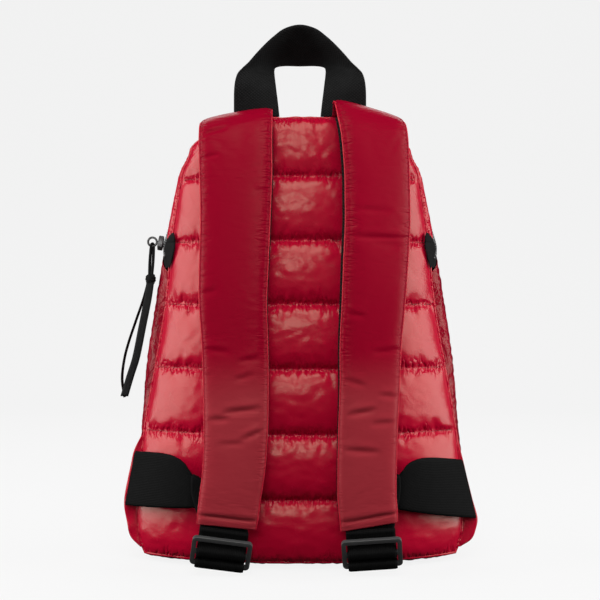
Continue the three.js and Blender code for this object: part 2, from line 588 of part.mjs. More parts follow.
function padSection(point, row) {
  const thick = STRAP_PAD * row.pad;
  const half = PAD_SECTION.map((p) => point(p.across, p.thick * thick));
  const other = PAD_SECTION.map((p) => point(-p.across, p.thick * thick)).reverse();
  const last = 2 * PAD_SECTION.length - 1;
  const under = range(last + 1).map((k) => point(-1 + 2 * k / last, -PAD_UNDERSIDE * thick));
  return [...half, ...other, ...under];
}

function liningSection(point, row) {
  const sink = PAD_UNDERSIDE * STRAP_PAD * row.pad + LINING_GAP;
  const last = 2 * PAD_SECTION.length - 1;
  const shares = [0, 3, 4, 7].map((k) => -1 + 2 * k / last);
  const level = (deep) => shares.map((share) => point(share, -deep));
  return [...level(sink), ...level(sink + LINING_THICK).reverse()];
}

function addStraps() {
  for (const [side, sign, rows] of [['left', -1, STRAP_LEFT], ['right', 1, STRAP_RIGHT]]) {
    add(`strap_pad_${side}`, loft(strapSections(rows, sign, padSection)), RED);
    add(`strap_lining_${side}`, loft(strapSections(rows, sign, liningSection).slice(LINING_FROM)), LINING);
    addAdjuster(side, sign, rows.at(-1));
    addAnchor(side, sign);
    addLowerWeb(side, sign, rows.at(-1));
  }
}

// Adjusters and lower webbing. up runs up the tilted frame, fore out of it towards the viewer.

function adjusterPlace(side, sign, row) {
  const middle = strapPlane(row, sign)(0);
  const { outset, roll } = ADJUSTER_LEAN[side];
  const turn = -sign * roll;
  return (x, up, fore) => {
    const sideways = x * Math.cos(turn) + up * Math.sin(turn);
    const rise = up * Math.cos(turn) - x * Math.sin(turn);
    return new THREE.Vector3(
      middle.x + sign * outset + sideways,
      middle.y - rise * Math.sin(ADJUSTER_TILT) - fore * Math.cos(ADJUSTER_TILT),
      ADJUSTER_RISE + rise * Math.cos(ADJUSTER_TILT) - fore * Math.sin(ADJUSTER_TILT),
    );
  };
}

function manifoldOf(geometry) {
  const bare = geometry.clone();
  bare.deleteAttribute('normal');
  bare.deleteAttribute('uv');
  const merged = mergeVertices(bare);
  return new wasm.Manifold(new wasm.Mesh({
    numProp: 3,
    vertProperties: new Float32Array(merged.attributes.position.array),
    triVerts: new Uint32Array(merged.index.array),
  }));
}

function geometryOf(manifold) {
  const mesh = manifold.getMesh();
  const geometry = new THREE.BufferGeometry();
  geometry.setAttribute('position', new THREE.Float32BufferAttribute(mesh.vertProperties, 3));
  geometry.setIndex(Array.from(mesh.triVerts));
  geometry.computeVertexNormals();
  return geometry;
}

function roundedRectangle(halfWide, low, high, radius) {
  const shape = new THREE.Shape();
  shape.moveTo(-halfWide + radius, low);
  shape.lineTo(halfWide - radius, low);
  shape.absarc(halfWide - radius, low + radius, radius, -Math.PI / 2, 0);
  shape.lineTo(halfWide, high - radius);
  shape.absarc(halfWide - radius, high - radius, radius, 0, Math.PI / 2);
  shape.lineTo(-halfWide + radius, high);
  shape.absarc(-halfWide + radius, high - radius, radius, Math.PI / 2, Math.PI);
  shape.lineTo(-halfWide, low + radius);
  shape.absarc(-halfWide + radius, low + radius, radius, Math.PI, Math.PI * 1.5);
  return shape;
}

function addAdjuster(side, sign, row) {
  const place = adjusterPlace(side, sign, row);
  const halfWindow = WEB_WIDTH / 2 + FRAME_SIDE_CLEARANCE;
  const outline = roundedRectangle(halfWindow + BAR, LOWER_BAR - BAR / 2, UPPER_BAR + BAR / 2, BAR);
  const slab = new THREE.ExtrudeGeometry(outline, { depth: FRAME_THICK, bevelEnabled: false, curveSegments: 3 });
  slab.translate(0, 0, -FRAME_THICK / 2);
  let body = manifoldOf(slab);
  for (const [low, high] of [[LOWER_BAR, MIDDLE_BAR], [MIDDLE_BAR, UPPER_BAR]]) {
    const tall = high - low - BAR;
    const window = new THREE.BoxGeometry(2 * halfWindow, tall, 2 * FRAME_THICK);
    window.translate(0, (low + high) / 2, 0);
    body = body.subtract(manifoldOf(window));
  }
  const geometry = geometryOf(body);
  const origin = place(0, 0, 0);
  const xDir = place(1, 0, 0).sub(origin);
  const upDir = place(0, 1, 0).sub(origin);
  const foreDir = place(0, 0, 1).sub(origin);
  geometry.applyMatrix4(new THREE.Matrix4().makeBasis(xDir, upDir, foreDir).setPosition(origin));
  add(`adjuster_${side}`, geometry, PLASTIC);

  // The tab comes down behind the upper bar, goes round the middle bar and back up
  const [half, face] = [BAR / 2, FRAME_THICK / 2];
  const near = face + BAR_CLEARANCE;
  const far = near + WEB_THICK + GAP;
  const padEnd = (strapPlane(row, sign)(0).z - ADJUSTER_RISE) / Math.cos(ADJUSTER_TILT);
  const top = padEnd - far * Math.tan(ADJUSTER_TILT) - TAB_CLEARANCE;
  const route = [
    [top, -far],
    [UPPER_BAR, -far],
    [MIDDLE_BAR + half, -far],
    [MIDDLE_BAR - half, -near - WEB_THICK / 2],
    ...roundBar(MIDDLE_BAR),
    [MIDDLE_BAR + half + BAR_CLEARANCE + 0.75 * FRAME_THICK, -face],
    [MIDDLE_BAR + half + BAR_CLEARANCE + 1.2 * FRAME_THICK, -near],
    [UPPER_BAR, -near],
    [top, -near],
  ];
  const edge = (x) => route.map(([up, fore]) => place(x, up, fore));
  add(`strap_tab_${side}`, strip(edge(-WEB_WIDTH / 2), edge(WEB_WIDTH / 2), WEB_THICK), WEBBING);
}

// Webbing under a cross bar from behind and up its front, up and fore places
function roundBar(bar) {
  const [half, face] = [BAR / 2, FRAME_THICK / 2];
  return [
    [bar - half - BAR_CLEARANCE, -face],
    [bar - half - BAR_CLEARANCE, face],
    [bar - half, face + BAR_CLEARANCE],
    [bar + half, face + BAR_CLEARANCE],
    [bar + half + BAR_CLEARANCE, face],
  ];
}

// Outline of an anchor tab past the side seam
function anchorEdge(sign, rows, pastSeam) {
  return rows.map((row) => {
    const seam = backPoint(sign, row.at, CLOTH / 2);
    seam.x += sign * (GAP + pastSeam * ANCHOR_REACH * row.reach);
    return seam;
  });
}

function addAnchor(side, sign) {
  const rows = sign < 0 ? ANCHOR_LEFT : ANCHOR_RIGHT;
  add(`anchor_tab_${side}`, strip(anchorEdge(sign, rows, 0), anchorEdge(sign, rows, 1), ANCHOR_THICK), RED);
}

function addLowerWeb(side, sign, row) {
  const place = adjusterPlace(side, sign, row);
  const rows = sign < 0 ? ANCHOR_LEFT : ANCHOR_RIGHT;
  const foldX = sign * HALF_WIDTH * FOLD_OUTSET[side];
  const bandLow = BAND_TOP - WEB_WIDTH;
  const pairs = [];
  const both = (upper, lower) => pairs.push([upper, lower]);

  // Level stretch, from the anchor tab to the fold
  const sewn = (anchor, share) => {
    const p = backPoint(sign, anchor.at, -ANCHOR_THICK / 2);
    p.x += sign * ANCHOR_REACH * anchor.reach * share;
    return p;
  };
  const [endHigh, endLow] = [sewn(rows[6], 0.8), sewn(rows[3], 0.9)];
  const foldHigh = new THREE.Vector3(foldX, -BAND_STANDOFF, BAND_TOP);
  const foldLow = new THREE.Vector3(foldX - sign * WEB_WIDTH, -BAND_STANDOFF, bandLow);
  const turnLow = new THREE.Vector3(foldX - sign * WEB_WIDTH * 0.3, -BAND_STANDOFF, bandLow);
  for (const share of [0, 0.12, 0.28, 0.5, 0.72, 0.9]) {
    const bow = new THREE.Vector3(0, -4 * BAND_BOW * share * (1 - share), 0);
    both(endHigh.clone().lerp(foldHigh, share).add(bow), endLow.clone().lerp(turnLow, share).add(bow));
  }
  // Fold on the slant, towards the viewer and down
  const outwards = new THREE.Vector3(-sign, 0, 1).normalize();
  for (const angle of range(5).map((k) => Math.PI * k / 4)) {
    const shift = outwards.clone().multiplyScalar(FOLD_RADIUS * Math.sin(angle));
    shift.y = -FOLD_RADIUS * (1 - Math.cos(angle));
    both(foldHigh.clone().add(shift), foldLow.clone().add(shift));
  }
  // Down behind the pad to the adjuster, and round its lower bar
  const fore = -BAND_STANDOFF - 2 * FOLD_RADIUS;
  both(
    new THREE.Vector3(foldX, fore, BAND_TOP - 0.7 * WEB_WIDTH),
    new THREE.Vector3(foldLow.x, fore, bandLow - 0.1 * WEB_WIDTH),
  );
  const [half, face] = [BAR / 2, FRAME_THICK / 2];
  const near = face + BAR_CLEARANCE;
  const far = near + WEB_THICK + GAP;
  const down = [
    [UPPER_BAR + half, -far - WEB_THICK - HANG_BACK],
    [MIDDLE_BAR + half, -far - WEB_THICK - HANG_BACK / 3],
    [LOWER_BAR + 1.3 * half, -far - WEB_THICK / 3],
    [LOWER_BAR - half, -far + WEB_THICK / 4],
    ...roundBar(LOWER_BAR),
    [LOWER_BAR + half + BAR_CLEARANCE, -face],
    [LOWER_BAR + 0.8 * half, -near],
    [LOWER_BAR - 0.25 * half, -near],
  ];
  for (const [up, out] of down) {
    both(place(sign * WEB_WIDTH / 2, up, out), place(-sign * WEB_WIDTH / 2, up, out));
  }
  add(`lower_web_${side}`, strip(pairs.map((p) => p[0]), pairs.map((p) => p[1]), WEB_THICK), WEBBING);
}

addBody();
addHandle();
addStraps();
group.position.y = -BASE_MIDDLE;

export default group;
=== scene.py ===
# %% [markdown]
# # A quilted puffer backpack in Blender
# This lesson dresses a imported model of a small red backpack. Its maker sewed two layers of shiny nylon with
# loose filling between them into channels, closed them with a zip over the top, and hung two padded straps
# on webbing. Every measure is in metres. The side with the straps faces -Y, and Z is up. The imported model
# comes in first and never moves: each piece made below lies where its solid lies.

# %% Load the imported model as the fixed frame
import json
import math

import bmesh
import bpy
import numpy as np
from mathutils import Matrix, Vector

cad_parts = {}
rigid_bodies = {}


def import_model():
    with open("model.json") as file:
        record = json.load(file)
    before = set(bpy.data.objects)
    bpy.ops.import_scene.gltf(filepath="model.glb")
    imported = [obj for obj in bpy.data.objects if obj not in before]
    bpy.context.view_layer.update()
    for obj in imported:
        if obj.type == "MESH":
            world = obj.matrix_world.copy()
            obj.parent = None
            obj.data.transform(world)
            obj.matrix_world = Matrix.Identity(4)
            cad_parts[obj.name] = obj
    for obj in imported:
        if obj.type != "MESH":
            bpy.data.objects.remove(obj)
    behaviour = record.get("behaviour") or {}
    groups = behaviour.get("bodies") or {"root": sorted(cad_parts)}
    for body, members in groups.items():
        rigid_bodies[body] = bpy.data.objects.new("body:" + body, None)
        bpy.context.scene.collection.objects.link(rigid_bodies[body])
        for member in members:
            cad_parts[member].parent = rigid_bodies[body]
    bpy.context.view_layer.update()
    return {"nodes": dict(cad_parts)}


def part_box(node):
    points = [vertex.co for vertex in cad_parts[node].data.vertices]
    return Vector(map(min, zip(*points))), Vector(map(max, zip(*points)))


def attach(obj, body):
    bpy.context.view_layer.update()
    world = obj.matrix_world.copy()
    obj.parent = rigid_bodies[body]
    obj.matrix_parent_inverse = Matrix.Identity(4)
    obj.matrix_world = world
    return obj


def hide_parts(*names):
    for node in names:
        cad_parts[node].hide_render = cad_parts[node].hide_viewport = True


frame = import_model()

# %% [markdown]
# ## Camera
# The photograph looks straight at the straps, level with the middle of the bag. A lens of 77 mm from about
# a metre away keeps the nearer straps only a little larger than the panel behind them.

# %% Camera
LENS, SENSOR, PANEL_AWAY = 76.9, 36, 1.0  # two in millimetres, then metres
camera = bpy.data.objects.new("camera", bpy.data.cameras.new("camera"))
bpy.context.collection.objects.link(camera)
camera.location = (0, -1.056, 0.211)
camera.rotation_euler = (math.radians(90), 0, 0)
camera.data.lens, camera.data.sensor_width = LENS, SENSOR
bpy.context.scene.camera = camera
print("camera sees", round(PANEL_AWAY * SENSOR / LENS, 3), "m at the back panel")

# %% [markdown]
# ## Small tools for meshes
# Most of the bag is cloth over a known shape, so its pieces are grids: rows of points, and a quad between
# four neighbours. A grid can be opened, closed to a tube, or laid round the bag. numpy keeps that quick.

# %% Tools for grids
def smooth(share):
    share = np.clip(share, 0, 1)
    return share * share * (3 - 2 * share)


def along(rows, at):
    """The smooth curve through rows of (place, value), read at one place or many."""
    place, value = np.array(rows, float).T
    k = np.arange(len(place))
    low, high = np.maximum(k - 1, 0), np.minimum(k + 1, len(place) - 1)
    slope = (value[high] - value[low]) / (place[high] - place[low])
    i = np.clip(np.searchsorted(place, at, side="right") - 1, 0, len(place) - 2)
    span = place[i + 1] - place[i]
    s = np.clip((at - place[i]) / span, 0, 1)
    return ((2 * s**3 - 3 * s**2 + 1) * value[i] + (s**3 - 2 * s**2 + s) * span * slope[i]
            + (3 * s**2 - 2 * s**3) * value[i + 1] + (s**3 - s**2) * span * slope[i + 1])


def unit(vectors):
    return vectors / np.maximum(np.linalg.norm(vectors, axis=-1, keepdims=True), 1e-12)


def grid_faces(rows, cols, rows_closed=False, cols_closed=False):
    index = np.arange(rows * cols).reshape(rows, cols)
    below = index if rows_closed else index[:-1]
    above = np.roll(index, -1, 0) if rows_closed else index[1:]
    if cols_closed:
        right_below, right_above = np.roll(below, -1, 1), np.roll(above, -1, 1)
    else:
        right_below, right_above, below, above = below[:, 1:], above[:, 1:], below[:, :-1], above[:, :-1]
    return np.stack([below, right_below, right_above, above], -1).reshape(-1, 4)


def sleeve_faces(rows, cols):
    """Faces of a flat sleeve of points, with quads across both of its ends."""
    faces = grid_faces(rows, cols, cols_closed=True).tolist()
    for start, turn in ((0, 1), ((rows - 1) * cols, -1)):
        for k in range(cols // 2 - 1):
            quad = [start + k, start + k + 1, start + cols - 2 - k, start + cols - 1 - k]
            faces.append(quad[::turn])
    return faces


def lengths(path):
    """How far each point of a path is along it."""
    return np.cumsum(np.linalg.norm(np.diff(path, axis=0, prepend=path[:1]), axis=-1))


def read_path(path, length, at):
    """Points of a path at given lengths along it."""
    return np.stack([np.interp(at, length, path[:, k]) for k in range(3)], -1)


def write_points(piece, points):
    piece.data.vertices.foreach_set("co", points.astype(np.float32).ravel())
    piece.data.update()


def worked_in(piece):
    """Applies the piece's modifiers to its mesh."""
    shown = piece.evaluated_get(bpy.context.evaluated_depsgraph_get())
    finished = bpy.data.meshes.new_from_object(shown)
    piece.modifiers.clear()
    piece.data = finished


def make_piece(name, points, faces, places=None, soft=True, closed=False):
    """A mesh object from points and faces. places are the cloth's own coordinates, in metres. A closed shape
    gets its faces turned outward."""
    mesh = bpy.data.meshes.new(name)
    mesh.from_pydata(np.asarray(points).reshape(-1, 3).tolist(), [], [list(map(int, f)) for f in faces])
    if places is not None:
        layer = mesh.uv_layers.new(name="cloth")
        corner = np.zeros(len(mesh.loops), np.int32)
        mesh.loops.foreach_get("vertex_index", corner)
        layer.data.foreach_set("uv", np.asarray(places, np.float32).reshape(-1, 2)[corner].ravel())
    mesh.polygons.foreach_set("use_smooth", [soft] * len(mesh.polygons))
    piece = bpy.data.objects.new(name, mesh)
    bpy.context.collection.objects.link(piece)
    if closed:
        form = bmesh.new()
        form.from_mesh(mesh)
        bmesh.ops.recalc_face_normals(form, faces=form.faces)
        form.to_mesh(mesh)
        form.free()
    return piece


def stand_for(piece, slot, material, *nodes):
    """Puts a finished piece on the frame in place of the solids that it shows."""
    piece.data.materials.clear()
    piece.data.materials.append(material)
    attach(piece, "root")
    if nodes:
        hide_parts(*nodes)
    print(f"{piece.name}: {len(piece.data.polygons)} faces")
    return piece


def joined(parts):
    """Points and faces of several small shapes as one."""
    points, faces, start = [], [], 0
    for some_points, some_faces in parts:
        points.append(np.asarray(some_points, float).reshape(-1, 3))
        faces += [[start + i for i in face] for face in some_faces]
        start += len(points[-1])
    return np.concatenate(points), faces


# %% [markdown]
# ## Cloth that fills with air
# A puffer's channels look alive because the cloth between two seams is longer than the gap that it crosses.
# The filling pushes it out, and the spare length gathers into small folds that run into the seams. That
# could be drawn with noise, but Blender's Cloth makes it for free: the seams are pinned, the sheet's rest
# shape is a few per cent larger than its place, and a little pressure swells it. The result is applied, so
# nothing moves later.

# %% Tools for cloth
def billow(piece, pinned, spare, steps=16, pressure=4.0, bend=0.05, mass=0.3):
    """Swells a pinned sheet. spare is the rest shape, with the cloth's spare length in it."""
    piece.shape_key_add(name="Basis")
    rest = piece.shape_key_add(name="spare")
    rest.data.foreach_set("co", np.asarray(spare, np.float32).ravel())
    group = piece.vertex_groups.new(name="sewn")
    for weight in np.unique(pinned[pinned > 0]):
        group.add(np.flatnonzero(pinned == weight).tolist(), float(weight), "REPLACE")
    cloth = piece.modifiers.new("Cloth", "CLOTH")
    settings = cloth.settings
    settings.rest_shape_key = rest
    settings.vertex_group_mass = group.name
    settings.quality = 5
    settings.mass = mass
    settings.bending_stiffness = bend
    settings.use_pressure = True
    settings.uniform_pressure_force = pressure
    settings.effector_weights.gravity = 0
    cloth.collision_settings.use_collision = False
    cloth.point_cache.frame_start, cloth.point_cache.frame_end = 1, steps
    for step in range(1, steps + 1):
        bpy.context.scene.frame_set(step)
    shown = piece.evaluated_get(bpy.context.evaluated_depsgraph_get())
    after = np.array([v.co for v in shown.data.vertices])
    piece.modifiers.clear()
    piece.shape_key_clear()
    piece.vertex_groups.clear()
    bpy.context.scene.frame_set(1)
    return after


def settle(piece, before, after, outward, most_out, most_in):
    """Keeps the swollen shape within a cap on both sides of its solid, and writes it to the mesh."""
    move = after - before
    out = (move * outward).sum(1)
    swell, dip = most_out * np.tanh(out / np.maximum(most_out, 1e-6)), most_in * np.tanh(out / most_in)
    kept = np.where(out > 0, swell, dip)
    points = before + move + outward * (kept - out)[:, None]
    write_points(piece, points)
    print(f"{piece.name}: swollen by up to {1000 * out.max():.1f} mm, kept {1000 * kept.max():.1f} mm")
    return points


def refine(piece):
    """One round of subdivision, applied."""
    piece.modifiers.new("finer", "SUBSURF").levels = 1
    worked_in(piece)


# %% [markdown]
# ## Light and ground
# The bag stands on a pale sweep in soft light: a large panel on each side, which makes the bright flanks,
# one above for the sheen on top of each channel, and a small one in front for the sheen on the upper
# channels. The light from below stays out of reflections, so that the flat straps stay deep red. The sweep
# glows a little by itself, so that it stays as even as a studio wall far behind the bag.

# %% Light and ground
scene = bpy.context.scene
scene.view_settings.view_transform = "Standard"
scene.view_settings.look = "None"


def softbox(name, place, target, size, tall, watts):
    light = bpy.data.lights.new(name, "AREA")
    light.shape = "RECTANGLE"
    light.size, light.size_y, light.energy = size, tall, watts
    lamp = bpy.data.objects.new(name, light)
    lamp.location = place
    lamp.rotation_euler = (Vector(target) - Vector(place)).to_track_quat("-Z", "Y").to_euler()
    bpy.context.collection.objects.link(lamp)
    return lamp


softbox("left_panel", (-1.35, -0.15, 0.5), (0, 0, 0.2), 1.0, 1.4, 29)
softbox("right_panel", (1.35, -0.15, 0.5), (0, 0, 0.2), 1.0, 1.4, 29)
softbox("top_panel", (0, -1.0, 1.25), (0, 0, 0.2), 1.0, 0.7, 18)
softbox("front_panel_light", (-0.08, -1.3, 0.56), (0, 0, 0.25), 0.34, 0.38, 5.0)
floor_bounce = softbox("floor_bounce", (0, -1.4, 0.02), (0, -1.4, 1), 2.4, 1.8, 9)
floor_bounce.visible_glossy = False
softbox("rear_panel", (0, 1.2, 1.5), (0, 0, 0.2), 1.6, 0.8, 16)

world = bpy.data.worlds.new("studio")
scene.world = world
world.use_nodes = True
background = world.node_tree.nodes["Background"]
background.inputs["Color"].default_value = (1, 1, 1, 1)
background.inputs["Strength"].default_value = 0.03

# the sweep's floor, its curve and the top of its wall, as (y, z)
FLOOR_END, CURVE = 1.4, 0.9
curve_rows = [(FLOOR_END + CURVE * math.sin(a), CURVE - CURVE * math.cos(a))
              for a in np.linspace(0, math.pi / 2, 17)[1:]]
sweep_rows = np.array([(-3.0, 0.0), (FLOOR_END, 0.0)] + curve_rows + [(FLOOR_END + CURVE, 3.2)])
sweep_points = np.array([[(x, y, z) for x in (-4.0, 4.0)] for y, z in sweep_rows])
sweep = make_piece("sweep", sweep_points, grid_faces(len(sweep_rows), 2))
sweep.visible_diffuse = sweep.visible_glossy = sweep.visible_shadow = False

# %% [markdown]
# ## Effects that several finishes share
# Each effect is a shader node group with named inputs and outputs. It gives out only masks and heights, and
# each material mixes them in its own way.

# %% Tools for node groups
class Wire:
    """A node's output that Python can reckon with: each operation makes one Math node."""

    def __init__(self, socket):
        self.socket = socket

    def __add__(self, other):
        return reckon("ADD", self, other)

    def __sub__(self, other):
        return reckon("SUBTRACT", self, other)

    def __rsub__(self, other):
        return reckon("SUBTRACT", other, self)

    def __mul__(self, other):
        return reckon("MULTIPLY", self, other)

    def __truediv__(self, other):
        return reckon("DIVIDE", self, other)

    def __pow__(self, other):
        return reckon("POWER", self, other)

    def __abs__(self):
        return reckon("ABSOLUTE", self)

    def times(self, factor, plus):
        return reckon("MULTIPLY_ADD", self, factor, plus)

    def above_zero(self):
        return reckon("MAXIMUM", self, 0.0)


def feed(socket, value):
    """Links a socket to a wire, or sets it to a number, a vector or a colour."""
    if isinstance(value, Wire):
        socket.id_data.links.new(value.socket, socket)
    else:
        socket.default_value = value


def place_node(tree, kind, inputs=(), out=0, **settings):
    """A new node's output. inputs are (name or number, value or wire)."""
    node = tree.nodes.new("ShaderNode" + kind)
    for key, value in settings.items():
        setattr(node, key, value)
    for key, value in inputs:
        feed(node.inputs[key], value)
    return Wire(node.outputs[out])


def reckon(operation, *given):
    """One Math node. given are numbers and wires."""
    tree = next(value.socket.id_data for value in given if isinstance(value, Wire))
    return place_node(tree, "Math", enumerate(given), operation=operation)


def noise(tree, vector, scale, detail, **more):
    given = [("Vector", vector), ("Scale", scale), ("Detail", detail), *more.items()]
    return place_node(tree, "TexNoise", given, out="Fac")


def axes_of(vector):
    """The three numbers of a vector."""
    node = place_node(vector.socket.id_data, "SeparateXYZ", [(0, vector)]).socket.node
    return [Wire(socket) for socket in node.outputs]


def effect(name, inputs, outputs):
    """A node group, a function that reads its inputs by name, and one that sets its outputs."""
    group = bpy.data.node_groups.new(name, "ShaderNodeTree")
    for label, kind, value in inputs:
        socket = group.interface.new_socket(label, in_out="INPUT", socket_type="NodeSocket" + kind)
        socket.default_value = value
    for label in outputs:
        group.interface.new_socket(label, in_out="OUTPUT", socket_type="NodeSocketFloat")
    entry, result = group.nodes.new("NodeGroupInput"), group.nodes.new("NodeGroupOutput")

    def given(label):
        return Wire(entry.outputs[label])

    def give(**results):
        for label, value in results.items():
            feed(result.inputs[label], value)

    return group, given, give


# %% [markdown]
# The first effect is the fine crinkle of thin nylon, a noise whose folded-over middle makes sharp little
# ridges. Stretch draws them out along a direction, and Patches is a second, slow noise.

# %% Crinkle
crinkle, given, give = effect(
    "crinkle",
    [("Stretch", "Vector", (1, 1, 1)), ("Size", "Float", 60.0), ("Sharpness", "Float", 2.0)],
    ["Height", "Patches"],
)
where = place_node(crinkle, "TexCoord", out="Object")
stretched = place_node(crinkle, "VectorMath", [(0, where), (1, given("Stretch"))], operation="MULTIPLY")
fine = noise(crinkle, stretched, given("Size"), 5.0, Roughness=0.55, Distortion=0.7)
ridge = (1.0 - abs(fine - 0.5) * 3.2).above_zero() ** given("Sharpness")
give(Height=ridge, Patches=noise(crinkle, where, 14.0, 2.0))

# %% [markdown]
# The second effect is a weave. Threads cross in a chequer: where the warp passes over, its crown is high,
# and beside it the weft's. Place is the cloth's own coordinate in metres, so that the same group draws the
# coarse ribs of webbing and the fine ground of nylon.

# %% Weave
weave, given, give = effect(
    "weave",
    [("Place", "Vector", (0, 0, 0)), ("Warp", "Float", 1200.0), ("Weft", "Float", 900.0),
     ("Lines", "Float", 0.0)],
    ["Height", "Gaps"],
)
warp, weft, _ = axes_of(given("Place"))
warp = reckon("SINE", warp * given("Warp") * math.pi)
weft = reckon("SINE", weft * given("Weft") * math.pi)
chequer = (warp * weft).times(0.5, plus=0.5)
lined = (abs(warp) - chequer) * given("Lines")
give(Height=chequer + lined, Gaps=1.0 - abs(weft) ** 0.4 * abs(warp) ** 0.4)

# %% [markdown]
# The third effect is gathers: along every sewn line the cloth is drawn into short sharp tucks, which die
# out within a centimetre, some sooner than others. Along and Away are metres from and beside the sewn line.

# %% Gathers
gathers, given, give = effect(
    "gathers",
    [("Along", "Float", 0.0), ("Away", "Float", 0.0), ("Size", "Float", 160.0), ("Reach", "Float", 0.01)],
    ["Height"],
)
level = axes_of(place_node(gathers, "TexCoord", out="Object"))[2]
spot = place_node(gathers, "CombineXYZ", [(0, given("Along")), (1, given("Away") * 0.25), (2, level * 0.3)])
tuck = noise(gathers, spot, given("Size"), 2.0)
groove = (1.0 - abs(tuck - 0.5) * 7.0).above_zero() ** 1.4
reach = given("Reach") * noise(gathers, spot, 70.0, 1.0).times(2.4, plus=-0.35)
near = (1.0 - given("Away") / reach).above_zero()
give(Height=groove * near ** 1.3)

# %% [markdown]
# The fourth effect is handling: rubbed spots, denser where Edge says that a rim is near, broken up by
# noise.

# %% Handling
handling, given, give = effect(
    "handling",
    [("Edge", "Float", 0.0), ("Amount", "Float", 0.5), ("Size", "Float", 300.0)],
    ["Rubbed"],
)
where = place_node(handling, "TexCoord", out="Object")
give(Rubbed=noise(handling, where, given("Size"), 4.0) * given("Edge") * given("Amount"))

# %% [markdown]
# ## Finishes
# The nylon is a thin coated cloth: deep red, smooth enough for a broad sheen of a warm tint, and never
# quite even. The crinkle breaks its highlights, the weave shows only from near, and tucks run away from its
# sewn lines. The straps' base colour is painted paler towards their lower ends: a painted sheen for the light
# that they catch there.

# %% Red nylon
SHEEN_TINT = (1, 0.97, 0.72, 1)
NYLON_THREADS, NYLON_RELIEF = 2600.0, 0.00004  # threads per metre, and their height


def use(tree, group, **inputs):
    """Places a group in a material. Its outputs are read by name."""
    node = place_node(tree, "Group", inputs.items(), node_tree=group).socket.node
    return lambda label: Wire(node.outputs[label])


def new_finish(name):
    material = bpy.data.materials.new(name)
    material.use_nodes = True
    tree = material.node_tree
    return material, tree, tree.nodes["Principled BSDF"]


def bump(tree, shader, layers):
    """Stacks Bump nodes of (height, strength, distance in metres)."""
    below = []
    for height, strength, distance in layers:
        given = [("Height", height), ("Strength", strength), ("Distance", distance)]
        below = [("Normal", place_node(tree, "Bump", given + below, out="Normal"))]
    feed(shader.inputs["Normal"], below[0][1])


def surface(tree, shader, colours, share, roughness, layers):
    """Mixes two colours by share, and sets the roughness and the bump."""
    given = [("Factor", share), ("A", colours[0]), ("B", colours[1])]
    feed(shader.inputs["Base Color"], place_node(tree, "Mix", given, out="Result", data_type="RGBA"))
    feed(shader.inputs["Roughness"], roughness)
    bump(tree, shader, layers)


def nylon(name, deep, light, roughness, stretch, size, crinkle_depth, shine=0.5, tucks=None, painted_sheen_heights=None):
    """tucks are the gathers' (half width, size, reach, depth). Without a half width the cloth's own second
    coordinate is the way from the seam. The last argument holds the heights where a painted sheen starts and
    is full:
    below them the base colour turns paler, for light that the lower cloth catches."""
    material, tree, shader = new_finish(name)
    where = place_node(tree, "TexCoord", out="Object")
    folds = use(tree, crinkle, Stretch=stretch, Size=size, Sharpness=2.2)
    ground = use(tree, weave, Place=where, Warp=NYLON_THREADS, Weft=NYLON_THREADS)
    rubs = use(tree, handling, Edge=1.0, Amount=0.25, Size=55.0)
    share = folds("Patches")
    # painted sheen: below these heights the base colour is mixed towards the paler red, standing in for light
    # caught by the straps' lower ends
    if painted_sheen_heights:
        given = [(0, axes_of(where)[2]), (1, painted_sheen_heights[0]), (2, painted_sheen_heights[1])]
        low = place_node(tree, "MapRange", given, interpolation_type="SMOOTHSTEP")
        share = low * share.times(0.8, plus=0.6)
    patchy = folds("Patches").times(0.14, plus=roughness - 0.07)
    layers = [(folds("Height"), 1.0, crinkle_depth), (ground("Height"), 0.3, NYLON_RELIEF)]
    if tucks:
        half_width, tuck_size, reach, depth = tucks
        run, away, _ = axes_of(place_node(tree, "UVMap", out="UV", uv_map="cloth"))
        if half_width:
            run, away = away, half_width - abs(run)
        drawn = use(tree, gathers, Along=run, Away=away, Size=tuck_size, Reach=reach)
        layers.append((drawn("Height") * -1.0, 1.0, depth))
    surface(tree, shader, (deep, light), share, rubs("Rubbed").times(0.2, plus=patchy), layers)
    shader.inputs["Specular IOR Level"].default_value = shine
    shader.inputs["Specular Tint"].default_value = SHEEN_TINT
    return material


panel_red = nylon("panel_nylon", (0.30, 0.0006, 0.016, 1), (0.35, 0.001, 0.019, 1), 0.25, (1, 1, 1.5), 24.0,
                  0.00014, 0.22, tucks=(0, 190.0, 0.0085, 0.0011))
# strap_red: below 175 mm, and fully at 125 mm, its base colour is painted paler, a painted sheen for light
# caught by the lower strap
strap_red = nylon("strap_nylon", (0.185, 0.0002, 0.0105, 1), (0.235, 0.019, 0.027, 1), 0.34, (0.6, 0.8, 1.8),
                  45.0, 0.00008, 0.05, tucks=(0.025, 260.0, 0.009, 0.0004), painted_sheen_heights=(0.175, 0.125))
piping_red = nylon("piping_nylon", (0.32, 0.001, 0.018, 1), (0.4, 0.008, 0.024, 1), 0.42, (1, 1, 1), 200.0,
                   0.0002, 0.25)
# painted shade: the gusset's base colour is a darker copy of the panels' red, standing in for its less lit
# sides
gusset_shaded_red = nylon("gusset_nylon_painted_shade", (0.13, 0.0003, 0.007, 1), (0.24, 0.0006, 0.013, 1), 0.24, (1, 1, 1.2),
                   21.0, 0.0016, 0.12)
thread_red = nylon("red_thread", (0.14, 0.002, 0.01, 1), (0.2, 0.004, 0.012, 1), 0.5, (1, 1, 1), 300.0,
                   0.0001)

# %% [markdown]
# Webbing is matt black polyester in a plain weave. Its rubbed crowns are a little paler than its gaps.

# %% Webbing, tape, lining
WOVEN_SHINE = 0.04


def greys(*values):
    return [(value, value, value, 1) for value in values]


